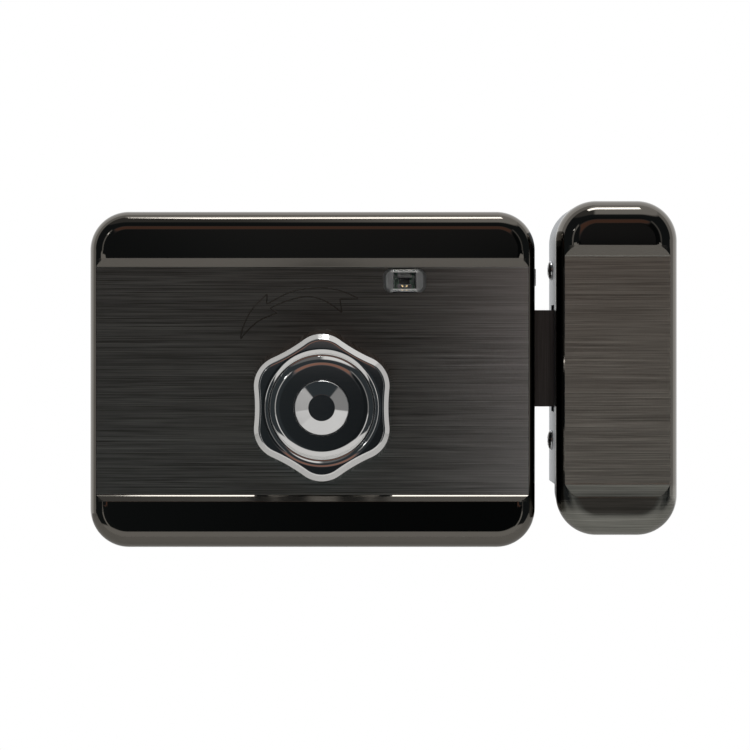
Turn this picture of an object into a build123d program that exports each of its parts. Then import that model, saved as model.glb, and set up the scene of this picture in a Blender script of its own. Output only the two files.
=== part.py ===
from build123d import *
import math
import os

os.makedirs("parts", exist_ok=True)

# Frame: the origin is on the knob's axis, in the plane of the door. +X points to the keeper, +Z up,
# and the room is on the -Y side, so a depth in this file is a distance from the door towards the room.

# Fits and gaps
running_fit = 0.06
drop_in_gap = 0.15
screw_fit = 0.05
guide_play = 0.25
seat_gap = 0.2
pressed_fit = 0.02

# Case cover
case_width = 132.6
case_height = 100.0
case_depth = 38.0
case_corner = 11.5
case_wall = 1.5
edge_round = 5.5
knob_from_left = 69.3
knob_from_bottom = 42.0
panel_from_bottom = 15.7
panel_height = 67.8
panel_sink = 1.2
panel_step_upper = 2.5
panel_step_lower = 1.9

# Back plate and what fixes it
plate_thickness = 2.0
post_radius = 4.0
post_inset = 9.0
post_screw_radius = 1.5
post_screw_reach = 12.0
post_screw_head_radius = 2.9
post_screw_head_height = 1.4
post_screw_drive = 0.7
door_bolt_radius = 2.5
door_bolt_from_left = 26.3
door_bolt_from_right = 20.3
door_bolt_from_bottom = 8.0
door_bolt_from_top = 24.0
boss_radius = 4.5
boss_height = 5.4
cable_slot_length = 18.0
cable_slot_height = 10.0
cable_slot_x = 2.0
cable_slot_from_top = 12.5
grommet_wall = 1.6
grommet_lip = 1.2

# Spindle and its bush
spindle_radius = 5.0
spindle_square = 7.6
spindle_bore_radius = 2.15
hub_radius = 8.0
hub_flat = 7.0
hub_setback = 0.3
hub_flange_radius = 10.0
hub_flange_thickness = 0.9
tail_slot_width = 2.4
tail_slot_length = 11.0
tail_slot_depth = 6.0
bush_radius = 7.0
bush_flange_radius = 9.5
bush_flange_thickness = 2.0
bush_proud = 0.2
clip_thickness = 0.8
clip_width = 2.2
clip_groove = 0.6
clip_mouth = 0.7
knob_flat = 4.2

# Gears: the rack gear pulls the bolt, the train joins the motor to the spindle
pressure_angle = math.radians(20)
addendum = 0.9
dedendum = 1.25
backlash = 0.24
rack_module = 1.4
rack_gear_teeth = 20
train_module = 1.0
drive_teeth = 40
idler_teeth = 24
motor_teeth = 16
gear_thickness = 4.0
train_gap = 1.2
layer_gap = 0.8
idler_bearing = 205.0
motor_bearing = 180.0
idler_axle_radius = 2.5
idler_shoulder_radius = 4.0
shaft_radius = 2.5
shaft_flat = 2.0
gear_web_sink = 1.0
gear_rim = 2.2
gear_hub_wall = 2.5
flank_foot = 0.05

# Bolt
bolt_height = 29.1
bolt_low = -0.3
bolt_thickness = 10.0
bolt_reach = 21.0
bolt_length = 54.3
bolt_chamfer = 1.0
turn_range = 90.0
rack_left = -12.0
rack_on_bolt = 14.0
rack_run_on = 5.0
rack_height = 10.0
rack_screw_radius = 1.25
rack_screw_head_radius = 2.3
rack_screw_head_height = 1.3
rack_screw_depth = 5.0
rack_screw_end_gap = 0.5
rack_screw_height = 6.0
rack_screw_pitch = 7.0
bolt_magnet_radius = 2.5
bolt_magnet_depth = 2.0
bolt_magnet_from_left = 14.0
bolt_magnet_from_top = 3.8
guide_length = 12.0
guide_wall = 3.2
guide_from_case = 1.3
rail_height = 4.0
rail_left = -24.0
rail_right = 26.0

# Knob and push button
knob_gap = 0.5
knob_height = 19.0
knob_base_lobe = 22.8
knob_shoulder_lobe = 21.5
knob_rim_lobe = 19.8
lobe_count = 6
lobe_rise = 2.0
lobe_centre = 12.5
shoulder_drop = 1.65
knob_rim_round = 1.1
knob_shoulder_round = 0.6
knob_base_round = 0.8
face_radius = 17.35
valley_radius = 15.35
valley_slope = 45.0
crown_flat_radius = 12.25
button_radius = 7.9
button_gap = 0.2
button_rise = 0.35
button_dot_radius = 3.85
button_cone = 1.3
button_thickness = 5.9
button_edge_round = 0.3
button_travel = 1.5
rod_radius = 2.0
cross_pin_radius = 1.0
cross_pin_depth = 31.4
rod_tail = 1.4
rod_socket = 1.4
collar_radius = 9.5
collar_thickness = 2.0
spring_wire_radius = 0.35
spring_radius = 3.3
spring_turns = 4
spring_space = 4.8
grub_radius = 1.5
grub_length = 5.0
grub_from_rear = 4.3
collar_gap = 0.9

# Bridge plate in front of the gears, and the button's switch in it
bridge_from_gearbox = 3.5
bridge_from_guide = 11.5
bridge_from_bottom = 8.0
bridge_margin = 4.5
bridge_thickness = 1.5
bridge_gap = 1.0
bridge_corner = 5.0
bridge_post_radius = 3.0
bridge_post_gap = 0.3
lower_post_rise = 4.0
lower_post_from_left = 22.5
side_post_from_right = 11.0
side_post_rise = 7.0
bridge_window_width = 13.0
bridge_window_height = 26.0
bridge_window_x = 20.0
bridge_window_z = 4.0
bridge_window_corner = 2.0
bridge_notch_width = 6.5
bridge_notch_height = 13.0
switch_width = 12.8
switch_height = 5.8
switch_depth = 4.5
switch_flange = 2.6
switch_flange_thickness = 0.6
switch_corner = 0.6
switch_z = -9.5
plunger_radius = 1.0
plunger_z = -8.0
plunger_engagement = 1.2
plunger_end_gap = 0.3
screw_bore_depth = 8.0
screw_bite = 6.0

# Motor and gearbox
gearbox_from_case = 7.3
gearbox_width = 24.0
gearbox_from_bottom = 14.0
gearbox_height = 32.0
gearbox_gap = 1.8
gearbox_cover_gap = 2.3
gearbox_corner = 2.0
gearbox_lid = 2.0
gearbox_lid_lip = 0.6
motor_radius = 12.0
motor_flat = 10.0
motor_length = 27.0
motor_end_round = 1.0
motor_cap_radius = 4.0
motor_cap_height = 1.8
motor_tab_x = 7.2
motor_tab_thickness = 0.5
motor_tab_width = 2.8
motor_tab_length = 3.5
shaft_socket = 6.0
gearbox_post_inset = 3.5
gearbox_post_radius = 2.8
gearbox_screw_depth = 5.0
small_screw_radius = 1.25
small_head_radius = 2.4
small_head_height = 1.3

# Control board and what it carries
board_from_bridge = 0.5
board_from_right = 14.3
board_from_top = 4.0
board_below_post = 5.9
board_gap = 1.5
board_thickness = 1.6
board_corner = 2.0
board_post_inset = 4.0
board_post_from_right = 12.5
board_post_radius = 2.6
tall_part_gap = 0.4
low_part_gap = 1.7
terminal_from_left = 31.5
terminal_from_top = 6.5
terminal_length = 15.0
terminal_height = 8.0
terminal_chamfer = 2.0
terminal_ways = 3
terminal_hole_radius = 1.5
terminal_mouth_low = 1.0
terminal_mouth_depth = 2.0
socket_from_left = 11.25
socket_below_middle = 3.0
socket_width = 7.5
socket_height = 5.7
socket_wall = 0.8
socket_pin = 0.6
socket_pin_pitch = 2.5
socket_pin_sink = 1.0
buzzer_from_right = 7.0
buzzer_from_top = 11.5
buzzer_radius = 5.5
buzzer_round = 0.5
buzzer_hole_radius = 1.0
buzzer_hole_depth = 1.5
capacitor_from_left = 19.4
capacitor_from_top = 6.0
capacitor_radius = 3.6
capacitor_round = 0.7
chip_above_low = 3.9
chip_side = 6.5
chip_depth = 1.6
chip_chamfer = 0.3
bolt_sensor_size = 4.0
bolt_sensor_depth = 1.6

# Indicator window, its light and its shade
window_from_right = 38.9
window_from_panel_top = 4.1
window_width = 12.6
window_height = 7.0
window_corner = 2.3
window_proud = 0.7
window_edge_round = 0.56
window_flange = 1.2
window_flange_depth = 1.2
window_hollow_width = 6.4
window_hollow_height = 4.8
window_hollow_depth = 0.7
light_width = 3.2
light_height = 2.8
light_depth = 1.4
shade_wall = 1.3

# Door sensor nub
sensor_above_bolt = 9.8
sensor_height = 5.2
sensor_depth_size = 6.0
sensor_depth = 22.0
sensor_proud = 0.75
sensor_length = 5.0
sensor_edge_round = 0.37
sensor_flange = 1.5

# Keeper
door_gap = 6.3
keeper_width = 36.2
keeper_height = 99.8
keeper_low = -38.5
keeper_corner = 12.0
keeper_edge_round = 7.0
keeper_panel_from_bottom = 15.4
keeper_panel_height = 67.9
keeper_panel_sink = 1.7
keeper_step_upper = 3.1
keeper_step_lower = 3.8
keeper_lip_depth = 7.0
bracket_thickness = 1.5
bracket_low = -23.5
bracket_wrap = 58.0
bracket_round = 6.0
bracket_front_gap = 0.3
strike_play = 1.6
keeper_upper_screw_z = 41.0
keeper_lower_screw_z = -10.7
keeper_screw_depth = 12.0
keeper_screw_radius = 1.5
keeper_screw_reach = 7.0
keeper_screw_end_gap = 1.0
keeper_head_radius = 3.0
keeper_head_height = 1.3
keeper_head_round = 1.0
keeper_block_width = 9.0
keeper_block_height = 12.0
keeper_block_rear = 6.0
keeper_magnet_radius = 4.0
keeper_magnet_thickness = 3.0
keeper_hole_radius = 2.25
keeper_hole_half_x = 9.0
keeper_hole_half_z = 32.0

# Places that follow from the sizes above
case_left = -knob_from_left
case_right = case_left + case_width
case_low = -knob_from_bottom
case_high = case_low + case_height
panel_low = case_low + panel_from_bottom
panel_high = panel_low + panel_height
panel_depth = case_depth - panel_sink
panel_inside = panel_depth - case_wall
band_inside = case_depth - case_wall
rack_gear_radius = rack_module * rack_gear_teeth / 2
bolt_travel = rack_gear_radius * math.radians(turn_range)
train_rear = plate_thickness + train_gap
train_front = train_rear + gear_thickness
rack_rear = train_front + layer_gap
rack_front = rack_rear + gear_thickness
bolt_rear = rack_front
bolt_front = bolt_rear + bolt_thickness
bolt_high = bolt_low + bolt_height
bolt_right = case_right + bolt_reach
bolt_left = bolt_right - bolt_length
rack_right = bolt_left + rack_on_bolt
rack_top = rack_gear_radius + rack_height
guide_right = case_right - case_wall - guide_from_case
guide_left = guide_right - guide_length
gearbox_left = case_left + gearbox_from_case
gearbox_right = gearbox_left + gearbox_width
gearbox_low = case_low + gearbox_from_bottom
gearbox_high = gearbox_low + gearbox_height
gearbox_rear = train_front + gearbox_gap
gearbox_front = panel_inside - gearbox_cover_gap
gearbox_middle = (gearbox_rear + gearbox_front) / 2
motor_x = gearbox_right - motor_radius
upper_post_z = bolt_high + bridge_post_gap + bridge_post_radius
bridge_left = gearbox_right + bridge_from_gearbox
bridge_right = guide_left - bridge_from_guide
bridge_low = case_low + bridge_from_bottom
bridge_high = upper_post_z + bridge_margin
bridge_rear = bolt_front + bridge_gap
bridge_front = bridge_rear + bridge_thickness
switch_front = bridge_front + switch_flange_thickness
board_left = bridge_left + board_from_bridge
board_right = case_right - board_from_right
board_low = upper_post_z - board_below_post
board_high = case_high - board_from_top
board_rear = bridge_front + board_gap
board_front = board_rear + board_thickness
tall_part_front = panel_inside - tall_part_gap
low_part_front = panel_inside - low_part_gap
terminal_x = board_left + terminal_from_left
terminal_z = board_high - terminal_from_top
socket_x = board_left + socket_from_left
socket_z = (board_low + board_high) / 2 - socket_below_middle
buzzer_x = board_right - buzzer_from_right
buzzer_z = board_high - buzzer_from_top
capacitor_x = board_left + capacitor_from_left
capacitor_z = board_high - capacitor_from_top
window_x = case_right - window_from_right
window_z = panel_high - window_from_panel_top
cable_slot_z = case_high - cable_slot_from_top
sensor_z = bolt_high + sensor_above_bolt
knob_rear = panel_depth + knob_gap
knob_front = knob_rear + knob_height
valley_turn = math.radians(valley_slope)
rim_bend = (face_radius - valley_radius) / math.sin(valley_turn)
crown_bend = (valley_radius - crown_flat_radius) / math.sin(valley_turn)
valley_front = knob_front - rim_bend * (1 - math.cos(valley_turn))
crown_front = valley_front + crown_bend * (1 - math.cos(valley_turn))
button_edge = crown_front + button_rise
button_front = button_edge + button_cone
button_rear = button_edge - button_thickness
spindle_front = button_rear - spring_space
grub_depth = knob_rear + grub_from_rear
collar_front = panel_inside - bush_flange_thickness - collar_gap
collar_rear = collar_front - collar_thickness
cross_pin_depth = (collar_front + collar_rear) / 2
idler_distance = train_module * (drive_teeth + idler_teeth) / 2
motor_distance = train_module * (idler_teeth + motor_teeth) / 2
idler_x = idler_distance * math.cos(math.radians(idler_bearing))
idler_z = idler_distance * math.sin(math.radians(idler_bearing))
pinion_x = idler_x + motor_distance * math.cos(math.radians(motor_bearing))
pinion_z = idler_z + motor_distance * math.sin(math.radians(motor_bearing))
keeper_left = case_right + door_gap
keeper_right = keeper_left + keeper_width
keeper_high = keeper_low + keeper_height
keeper_panel_low = keeper_low + keeper_panel_from_bottom
keeper_panel_high = keeper_panel_low + keeper_panel_height
keeper_panel_inside = case_depth - keeper_panel_sink - case_wall
keeper_mid_x = (keeper_left + keeper_right) / 2
keeper_mid_z = (keeper_low + keeper_high) / 2
bracket_inside = keeper_left + bracket_thickness


# Plain shapes, placed by X, Z and depth
def facing_room(depth):
    """Plane parallel to the door, at a depth, that looks into the room."""
    return Plane.XZ.offset(depth)


def disc(x, z, radius, rear, front):
    """Round bar along the depth."""
    return extrude(facing_room(rear) * Pos(x, z) * Circle(radius), amount=front - rear)


def ring(x, z, radius, bore, rear, front):
    """Disc with a round hole."""
    return disc(x, z, radius, rear, front) - disc(x, z, bore, rear, front)


def slab(x, z, width, height, rear, front):
    """Plain block about a middle."""
    return extrude(facing_room(rear) * Pos(x, z) * Rectangle(width, height), amount=front - rear)


def cone(x, z, rear_radius, front_radius, rear, front):
    """Cone frustum along the depth."""
    return loft([facing_room(rear) * Pos(x, z) * Circle(rear_radius),
                 facing_room(front) * Pos(x, z) * Circle(front_radius)])


def block(left, right, low, high, rear, front):
    """Plain block between two corners."""
    outline = Pos((left + right) / 2, (low + high) / 2) * Rectangle(right - left, high - low)
    return extrude(facing_room(rear) * outline, amount=front - rear)


def soft_block(left, right, low, high, rear, front, corner):
    """Block whose outline has round corners, seen from the room."""
    outline = RectangleRounded(right - left, high - low, corner)
    middle = Pos((left + right) / 2, (low + high) / 2)
    return extrude(facing_room(rear) * middle * outline, amount=front - rear)


def bar_along_x(depth, z, radius, left, right):
    """Round bar along X."""
    return extrude(Plane.YZ.offset(left) * Pos(-depth, z) * Circle(radius), amount=right - left)


def bar_along_z(x, depth, radius, low, high):
    """Round bar along Z."""
    return extrude(Plane.XY.offset(low) * Pos(x, -depth) * Circle(radius), amount=high - low)


def turned(points):
    """Solid of revolution about the knob's axis, from (radius, depth) points."""
    outline = Polyline([(radius, -depth) for radius, depth in points], close=True)
    return revolve(make_face(outline), Axis.Y)


def front_face(shape):
    """Face that looks into the room."""
    return shape.faces().sort_by(Axis.Y)[0]


def together(pieces):
    """One node's pieces as one compound of separate solids."""
    return Compound(children=list(pieces))


# Stamped covers: a soft-edged box with a sunk panel across its front
def cover_form(left, right, low, high, depth, corner, soft, panel):
    """Outer or inner form of a cover; panel is (low, high, sink, lower step, upper step)."""
    panel_bottom, panel_top, sink, step_below, step_above = panel
    form = soft_block(left, right, low, high, 0, depth, corner)
    form = fillet(front_face(form).edges(), soft)
    floor = -(depth - sink)
    beyond = sink + 1
    trench = Polyline((floor, panel_bottom),
                      (floor, panel_top),
                      (floor - beyond, panel_top + step_above * beyond / sink),
                      (floor - beyond, panel_bottom - step_below * beyond / sink),
                      close=True)
    return form - extrude(Plane.YZ.offset(left - 1) * make_face(trench), amount=right - left + 2)


def cover_room(left, right, low, high, depth, corner, soft, panel):
    """Room inside a sheet cover of even wall."""
    wall = case_wall
    return cover_form(left + wall, right - wall, low + wall, high - wall, depth - wall,
                      corner - wall, soft - wall, panel)


def hollow_cover(*sizes):
    """Sheet cover of even wall, open to the door."""
    return cover_form(*sizes) - cover_room(*sizes)


def post_places():
    """Where the four posts stand in the case's corners."""
    return [(x, z)
            for x in (case_left + post_inset, case_right - post_inset)
            for z in (case_low + post_inset, case_high - post_inset)]


def case_sizes():
    """Edges, depth, roundings and panel of the case's cover."""
    panel = (panel_low, panel_high, panel_sink, panel_step_lower, panel_step_upper)
    return (case_left, case_right, case_low, case_high, case_depth, case_corner, edge_round, panel)


def front_cover():
    cover = hollow_cover(*case_sizes())
    cover -= disc(0, 0, bush_radius, panel_inside - 1, case_depth)
    cover -= window_outline(drop_in_gap, panel_inside - 1, case_depth)
    cover -= block(case_right - case_wall - 1, case_right + 1,
                   bolt_low - guide_play, bolt_high + guide_play,
                   bolt_rear - guide_play, bolt_front + guide_play)
    cover -= sensor_stem(drop_in_gap)
    return cover


def cover_posts():
    bore = post_screw_radius + screw_fit
    bore_end = plate_thickness + post_screw_reach + plunger_end_gap
    room = cover_room(*case_sizes())
    posts = []
    for x, z in post_places():
        post = disc(x, z, post_radius, plate_thickness, band_inside) & room
        posts.append(post - disc(x, z, bore, 0, bore_end))
    return together(posts)


def plate_screw_form(x, z, gap):
    """Countersunk screw, driven in from the door side."""
    shank = post_screw_radius + gap
    head = cone(x, z, post_screw_head_radius + gap, shank, 0, post_screw_head_height)
    return head + disc(x, z, shank, 0, plate_thickness + post_screw_reach)


def plate_screws():
    drive = post_screw_drive
    screws = []
    for x, z in post_places():
        screw = plate_screw_form(x, z, 0)
        screw -= slab(x, z, drive, 4 * drive, 0, drive)
        screw -= slab(x, z, 4 * drive, drive, 0, drive)
        screws.append(screw)
    return together(screws)


def door_bolt_places():
    """Where the four bolts through the door come in."""
    return [(x, z)
            for x in (case_left + door_bolt_from_left, case_right - door_bolt_from_right)
            for z in (case_low + door_bolt_from_bottom, case_high - door_bolt_from_top)]


def cable_slot(gap, rear, front):
    """Round-ended slot that the cable comes in by."""
    outline = SlotOverall(cable_slot_length + 2 * gap, cable_slot_height + 2 * gap)
    middle = Pos(cable_slot_x, cable_slot_z)
    return extrude(facing_room(rear) * middle * outline, amount=front - rear)


def back_plate():
    inset = case_wall + drop_in_gap
    plate = soft_block(case_left + inset, case_right - inset, case_low + inset, case_high - inset,
                       0, plate_thickness, case_corner - inset)
    plate -= disc(0, 0, hub_radius + running_fit, 0, plate_thickness)
    plate -= cable_slot(0, 0, plate_thickness)
    plate -= disc(idler_x, idler_z, idler_axle_radius + pressed_fit, 0, plate_thickness)
    for x, z in post_places():
        plate -= plate_screw_form(x, z, screw_fit)
    for x, z in door_bolt_places():
        plate -= disc(x, z, door_bolt_radius, 0, plate_thickness)
    return plate


def door_bolt_bosses():
    rear = plate_thickness
    return together(ring(x, z, boss_radius, door_bolt_radius, rear, rear + boss_height)
                    for x, z in door_bolt_places())


def cable_grommet():
    lip_front = plate_thickness + grommet_lip
    body = cable_slot(-screw_fit, 0, lip_front)
    body += cable_slot(grommet_lip, plate_thickness, lip_front)
    return body - cable_slot(-grommet_wall, 0, lip_front)


# Bridge plate, its posts and the switch of the push button
def lower_bridge_places():
    """The two bridge posts below the spindle."""
    return [(bridge_right - side_post_from_right, bridge_low + side_post_rise),
            (bridge_left + lower_post_from_left, bridge_low + lower_post_rise)]


def upper_bridge_places():
    """The two bridge posts above the bolt, which also carry the board."""
    return [(bridge_left + bridge_margin, upper_post_z), (bridge_right - bridge_margin, upper_post_z)]


def bridge_posts():
    bore = small_screw_radius + screw_fit
    posts = []
    for x, z in lower_bridge_places() + upper_bridge_places():
        post = disc(x, z, bridge_post_radius, plate_thickness, bridge_rear)
        posts.append(post - disc(x, z, bore, bridge_rear - screw_bore_depth, bridge_rear))
    return together(posts)


def bridge_plate():
    plate = soft_block(bridge_left, bridge_right, bridge_low, bridge_high, bridge_rear, bridge_front,
                       bridge_corner)
    plate -= disc(0, 0, spindle_radius + running_fit, bridge_rear, bridge_front)
    plate -= switch_body(drop_in_gap)
    for x, z in lower_bridge_places() + upper_bridge_places():
        plate -= disc(x, z, small_screw_radius + screw_fit, bridge_rear, bridge_front)
    half_width = bridge_window_width / 2
    half_height = bridge_window_height / 2
    for x in (-bridge_window_x, bridge_window_x):
        plate -= soft_block(x - half_width, x + half_width,
                            bridge_window_z - half_height, bridge_window_z + half_height,
                            bridge_rear, bridge_front, bridge_window_corner)
    notch = slab(bridge_left, bridge_low, 2 * bridge_notch_width, 2 * bridge_notch_height,
                 bridge_rear, bridge_front)
    return plate - notch


def screw_from_room(x, z, seat, reach):
    """Cheese-head screw whose head sits on a face at the depth of its seat."""
    slot = small_head_height / 2
    head = disc(x, z, small_head_radius, seat, seat + small_head_height)
    head = chamfer(front_face(head).edges(), slot / 2)
    head -= slab(x, z, 2 * small_head_radius, slot, seat + slot, seat + small_head_height)
    return head + disc(x, z, small_screw_radius, seat - reach, seat)


def bridge_screws():
    reach = bridge_thickness + screw_bite
    return together(screw_from_room(x, z, bridge_front, reach) for x, z in lower_bridge_places())


def switch_body(gap):
    """Body of the switch, which passes through the bridge plate."""
    half = switch_width / 2 + gap
    rise = switch_height / 2 + gap
    return soft_block(-half, half, switch_z - rise, switch_z + rise, switch_front - switch_depth,
                      switch_front, switch_corner + gap)


def button_switch():
    half = switch_width / 2 + switch_flange
    rise = switch_height / 2
    switch = switch_body(0)
    switch += soft_block(-half, half, switch_z - rise, switch_z + rise, bridge_front, switch_front,
                         switch_corner)
    bore_end = plunger_rear() - button_travel - plunger_end_gap
    return switch - disc(0, plunger_z, plunger_radius + running_fit, bore_end, switch_front)


def plunger_rear():
    """Depth of the plunger's end inside the switch."""
    return switch_front - plunger_engagement


def switch_plunger():
    plunger = disc(0, plunger_z, plunger_radius, plunger_rear(), collar_rear - seat_gap)
    return chamfer(front_face(plunger).edges(), plunger_radius / 3)


# Gears
def involute(angle):
    return math.tan(angle) - angle


def gear_outline(x, z, teeth, module, phase):
    """Spur gear outline with involute flanks; phase is the bearing of one tooth's middle, in degrees."""
    pitch = module * teeth / 2
    base = pitch * math.cos(pressure_angle)
    root = pitch - dedendum * module
    tip = pitch + addendum * module
    half_at_base = math.pi / (2 * teeth) - backlash / (4 * pitch) + involute(pressure_angle)

    def half_angle(radius):
        if radius <= base:
            return half_at_base
        return half_at_base - involute(math.acos(base / radius))

    flank = [root, max(root, base) + flank_foot * module, pitch, tip]
    points = []
    for tooth in range(teeth):
        middle = math.radians(phase) + 2 * math.pi * tooth / teeth
        rising = [(radius, middle - half_angle(radius)) for radius in flank]
        falling = [(radius, middle + half_angle(radius)) for radius in reversed(flank)]
        points += [(x + radius * math.cos(angle), z + radius * math.sin(angle))
                   for radius, angle in rising + falling]
    return make_face(Polyline(points, close=True))


def gear(x, z, teeth, module, phase, rear, front):
    return extrude(facing_room(rear) * gear_outline(x, z, teeth, module, phase), amount=front - rear)


def sunk_web(x, z, teeth, module, hub, rear, front):
    """Rings that thin a gear between its hub and its rim, on both faces."""
    rim = module * teeth / 2 - dedendum * module - gear_rim
    return (ring(x, z, rim, hub, rear, rear + gear_web_sink)
            + ring(x, z, rim, hub, front - gear_web_sink, front))


def flatted(radius, flat, gap):
    """Round section with two flats."""
    return Circle(radius + gap) & Rectangle(2 * (radius + gap), 2 * (flat + gap))


def squared(gap):
    """Milled square of the spindle, its corners on the round."""
    side = spindle_square + 2 * gap
    return Circle(spindle_radius + gap) & Rectangle(side, side)


idler_phase = idler_bearing + 180 + 180 / idler_teeth
idler_offset = math.remainder(motor_bearing - idler_phase, 360 / idler_teeth)
motor_phase = motor_bearing + 180 + 180 / motor_teeth + idler_offset * idler_teeth / motor_teeth


def drive_gear():
    wheel = gear(0, 0, drive_teeth, train_module, idler_bearing, train_rear, train_front)
    wheel -= sunk_web(0, 0, drive_teeth, train_module, hub_radius + gear_hub_wall, train_rear, train_front)
    bore = facing_room(train_rear) * flatted(hub_radius, hub_flat, screw_fit)
    return wheel - extrude(bore, amount=gear_thickness)


def rack_gear():
    wheel = gear(0, 0, rack_gear_teeth, rack_module, 90, rack_rear, rack_front)
    return wheel - extrude(facing_room(rack_rear) * squared(screw_fit), amount=gear_thickness)


def idler_gear():
    wheel = gear(idler_x, idler_z, idler_teeth, train_module, idler_phase, train_rear, train_front)
    hub = idler_axle_radius + gear_hub_wall
    wheel -= sunk_web(idler_x, idler_z, idler_teeth, train_module, hub, train_rear, train_front)
    return wheel - disc(idler_x, idler_z, idler_axle_radius + running_fit, train_rear, train_front)


def idler_axle():
    axle = disc(idler_x, idler_z, idler_axle_radius, 0, train_front + layer_gap)
    axle += disc(idler_x, idler_z, idler_shoulder_radius, plate_thickness, train_rear - seat_gap)
    return axle - ring(idler_x, idler_z, idler_axle_radius, idler_axle_radius - clip_groove,
                       train_front + seat_gap, train_front + seat_gap + clip_thickness / 2)


def retaining_clip(x, z, shaft, rear, thickness):
    """Open spring clip in a shaft's groove, its gap to the right."""
    inner = shaft - clip_groove + pressed_fit
    outer = shaft + clip_width
    mouth = inner * clip_mouth
    clip = ring(x, z, outer, inner, rear, rear + thickness)
    return clip - block(x, x + outer, z - mouth, z + mouth, rear, rear + thickness)


def idler_clip():
    return retaining_clip(idler_x, idler_z, idler_axle_radius, train_front + seat_gap, clip_thickness / 2)


def shaft_section(gap):
    """Round shaft with one flat, at the motor pinion."""
    low = -shaft_radius - gap
    high = shaft_flat + gap
    flat = Pos(0, (low + high) / 2) * Rectangle(2 * (shaft_radius + gap), high - low)
    return Pos(pinion_x, pinion_z) * (Circle(shaft_radius + gap) & flat)


def motor_pinion():
    wheel = gear(pinion_x, pinion_z, motor_teeth, train_module, motor_phase, train_rear, train_front)
    return wheel - extrude(facing_room(train_rear) * shaft_section(screw_fit), amount=gear_thickness)


def output_shaft():
    rear = train_rear - seat_gap
    milled = extrude(facing_room(rear) * shaft_section(0), amount=train_front - rear)
    return milled + disc(pinion_x, pinion_z, shaft_radius, train_front, gearbox_rear + shaft_socket)


# Spindle, from the tailpiece slot at the door to the knob
def spindle_groove():
    """Groove that the retaining clip snaps into."""
    outer = spindle_radius + clip_width
    return ring(0, 0, outer, spindle_radius - clip_groove, rack_front, rack_front + clip_thickness)


def spindle():
    hub = facing_room(hub_setback) * flatted(hub_radius, hub_flat, 0)
    body = disc(0, 0, hub_radius, hub_setback, train_rear)
    body += extrude(hub, amount=rack_rear - hub_setback)
    flange_rear = plate_thickness + seat_gap / 2
    body += disc(0, 0, hub_flange_radius, flange_rear, flange_rear + hub_flange_thickness)
    body += extrude(facing_room(rack_rear) * squared(0), amount=gear_thickness)
    body += disc(0, 0, spindle_radius, rack_front, spindle_front)
    body -= spindle_groove()
    body -= slab(0, 0, tail_slot_length, tail_slot_width, 0, tail_slot_depth + hub_setback)
    pin_hole = cross_pin_radius + seat_gap / 2
    slot_rear = cross_pin_depth - button_travel - pin_hole
    body -= disc(0, 0, spindle_bore_radius, slot_rear - rod_tail, spindle_front)
    body -= slab(0, 0, 2 * spindle_radius, 2 * pin_hole, slot_rear, cross_pin_depth + pin_hole)
    return body - block(-spindle_radius, spindle_radius, -spindle_radius, -knob_flat,
                        knob_rear, spindle_front)


def spindle_clip():
    return retaining_clip(0, 0, spindle_radius, rack_front, clip_thickness)


def knob_bush():
    flange = disc(0, 0, bush_flange_radius, panel_inside - bush_flange_thickness, panel_inside)
    body = flange + disc(0, 0, bush_radius - screw_fit, panel_inside, panel_depth + bush_proud)
    return body - disc(0, 0, spindle_radius + running_fit, 0, case_depth)


# Knob and push button
def lobed_outline(lobe_radius):
    """Six round lobes joined by hollow arcs, each pair tangent."""
    valley_radius = lobe_radius - lobe_rise
    half_step = math.pi / lobe_count
    closing = 1 - math.cos(half_step)
    hollow_centre = ((lobe_rise ** 2 - 2 * lobe_rise * lobe_centre)
                     / (2 * lobe_centre * closing - 2 * lobe_rise))
    round_radius = lobe_radius - lobe_centre
    arcs = []
    for lobe in range(lobe_count):
        bearing = math.pi / 2 + 2 * half_step * lobe
        centre = Vector(lobe_centre, 0).rotate(Axis.Z, math.degrees(bearing))
        joins = []
        for side in (-1, 1):
            hollow = Vector(hollow_centre, 0).rotate(Axis.Z, math.degrees(bearing + side * half_step))
            joins.append(centre + (hollow - centre).normalized() * round_radius)
        tip = Vector(lobe_radius, 0).rotate(Axis.Z, math.degrees(bearing))
        arcs.append(ThreePointArc(joins[0], tip, joins[1]))
        valley = Vector(valley_radius, 0).rotate(Axis.Z, math.degrees(bearing + half_step))
        arcs.append(ThreePointArc(joins[1], valley, joins[0].rotate(Axis.Z, 360 / lobe_count)))
    return make_face(Wire(arcs))


def knob_cup():
    """Lobed body of the knob: tapered wall, sloping shoulder and flat rim."""
    shoulder_front = knob_front - shoulder_drop
    base = facing_room(knob_rear) * lobed_outline(knob_base_lobe)
    shoulder = facing_room(shoulder_front) * lobed_outline(knob_shoulder_lobe)
    rim = facing_room(knob_front) * lobed_outline(knob_rim_lobe)
    cup = loft([base, shoulder], ruled=True) + loft([shoulder, rim], ruled=True)
    cup = fillet(front_face(cup).edges(), knob_rim_round)
    waist = cup.edges().filter_by_position(Axis.Y, -shoulder_front, -shoulder_front)
    cup = fillet(waist, knob_shoulder_round)
    return fillet(cup.faces().sort_by(Axis.Y)[-1].edges(), knob_base_round)


def point_on_bend(middle, front, bend, turn):
    """(radius, y) of a point on a round shoulder whose top is at a depth, turned outwards from it."""
    return middle + bend * math.sin(turn), bend * (1 - math.cos(turn)) - front


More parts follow.
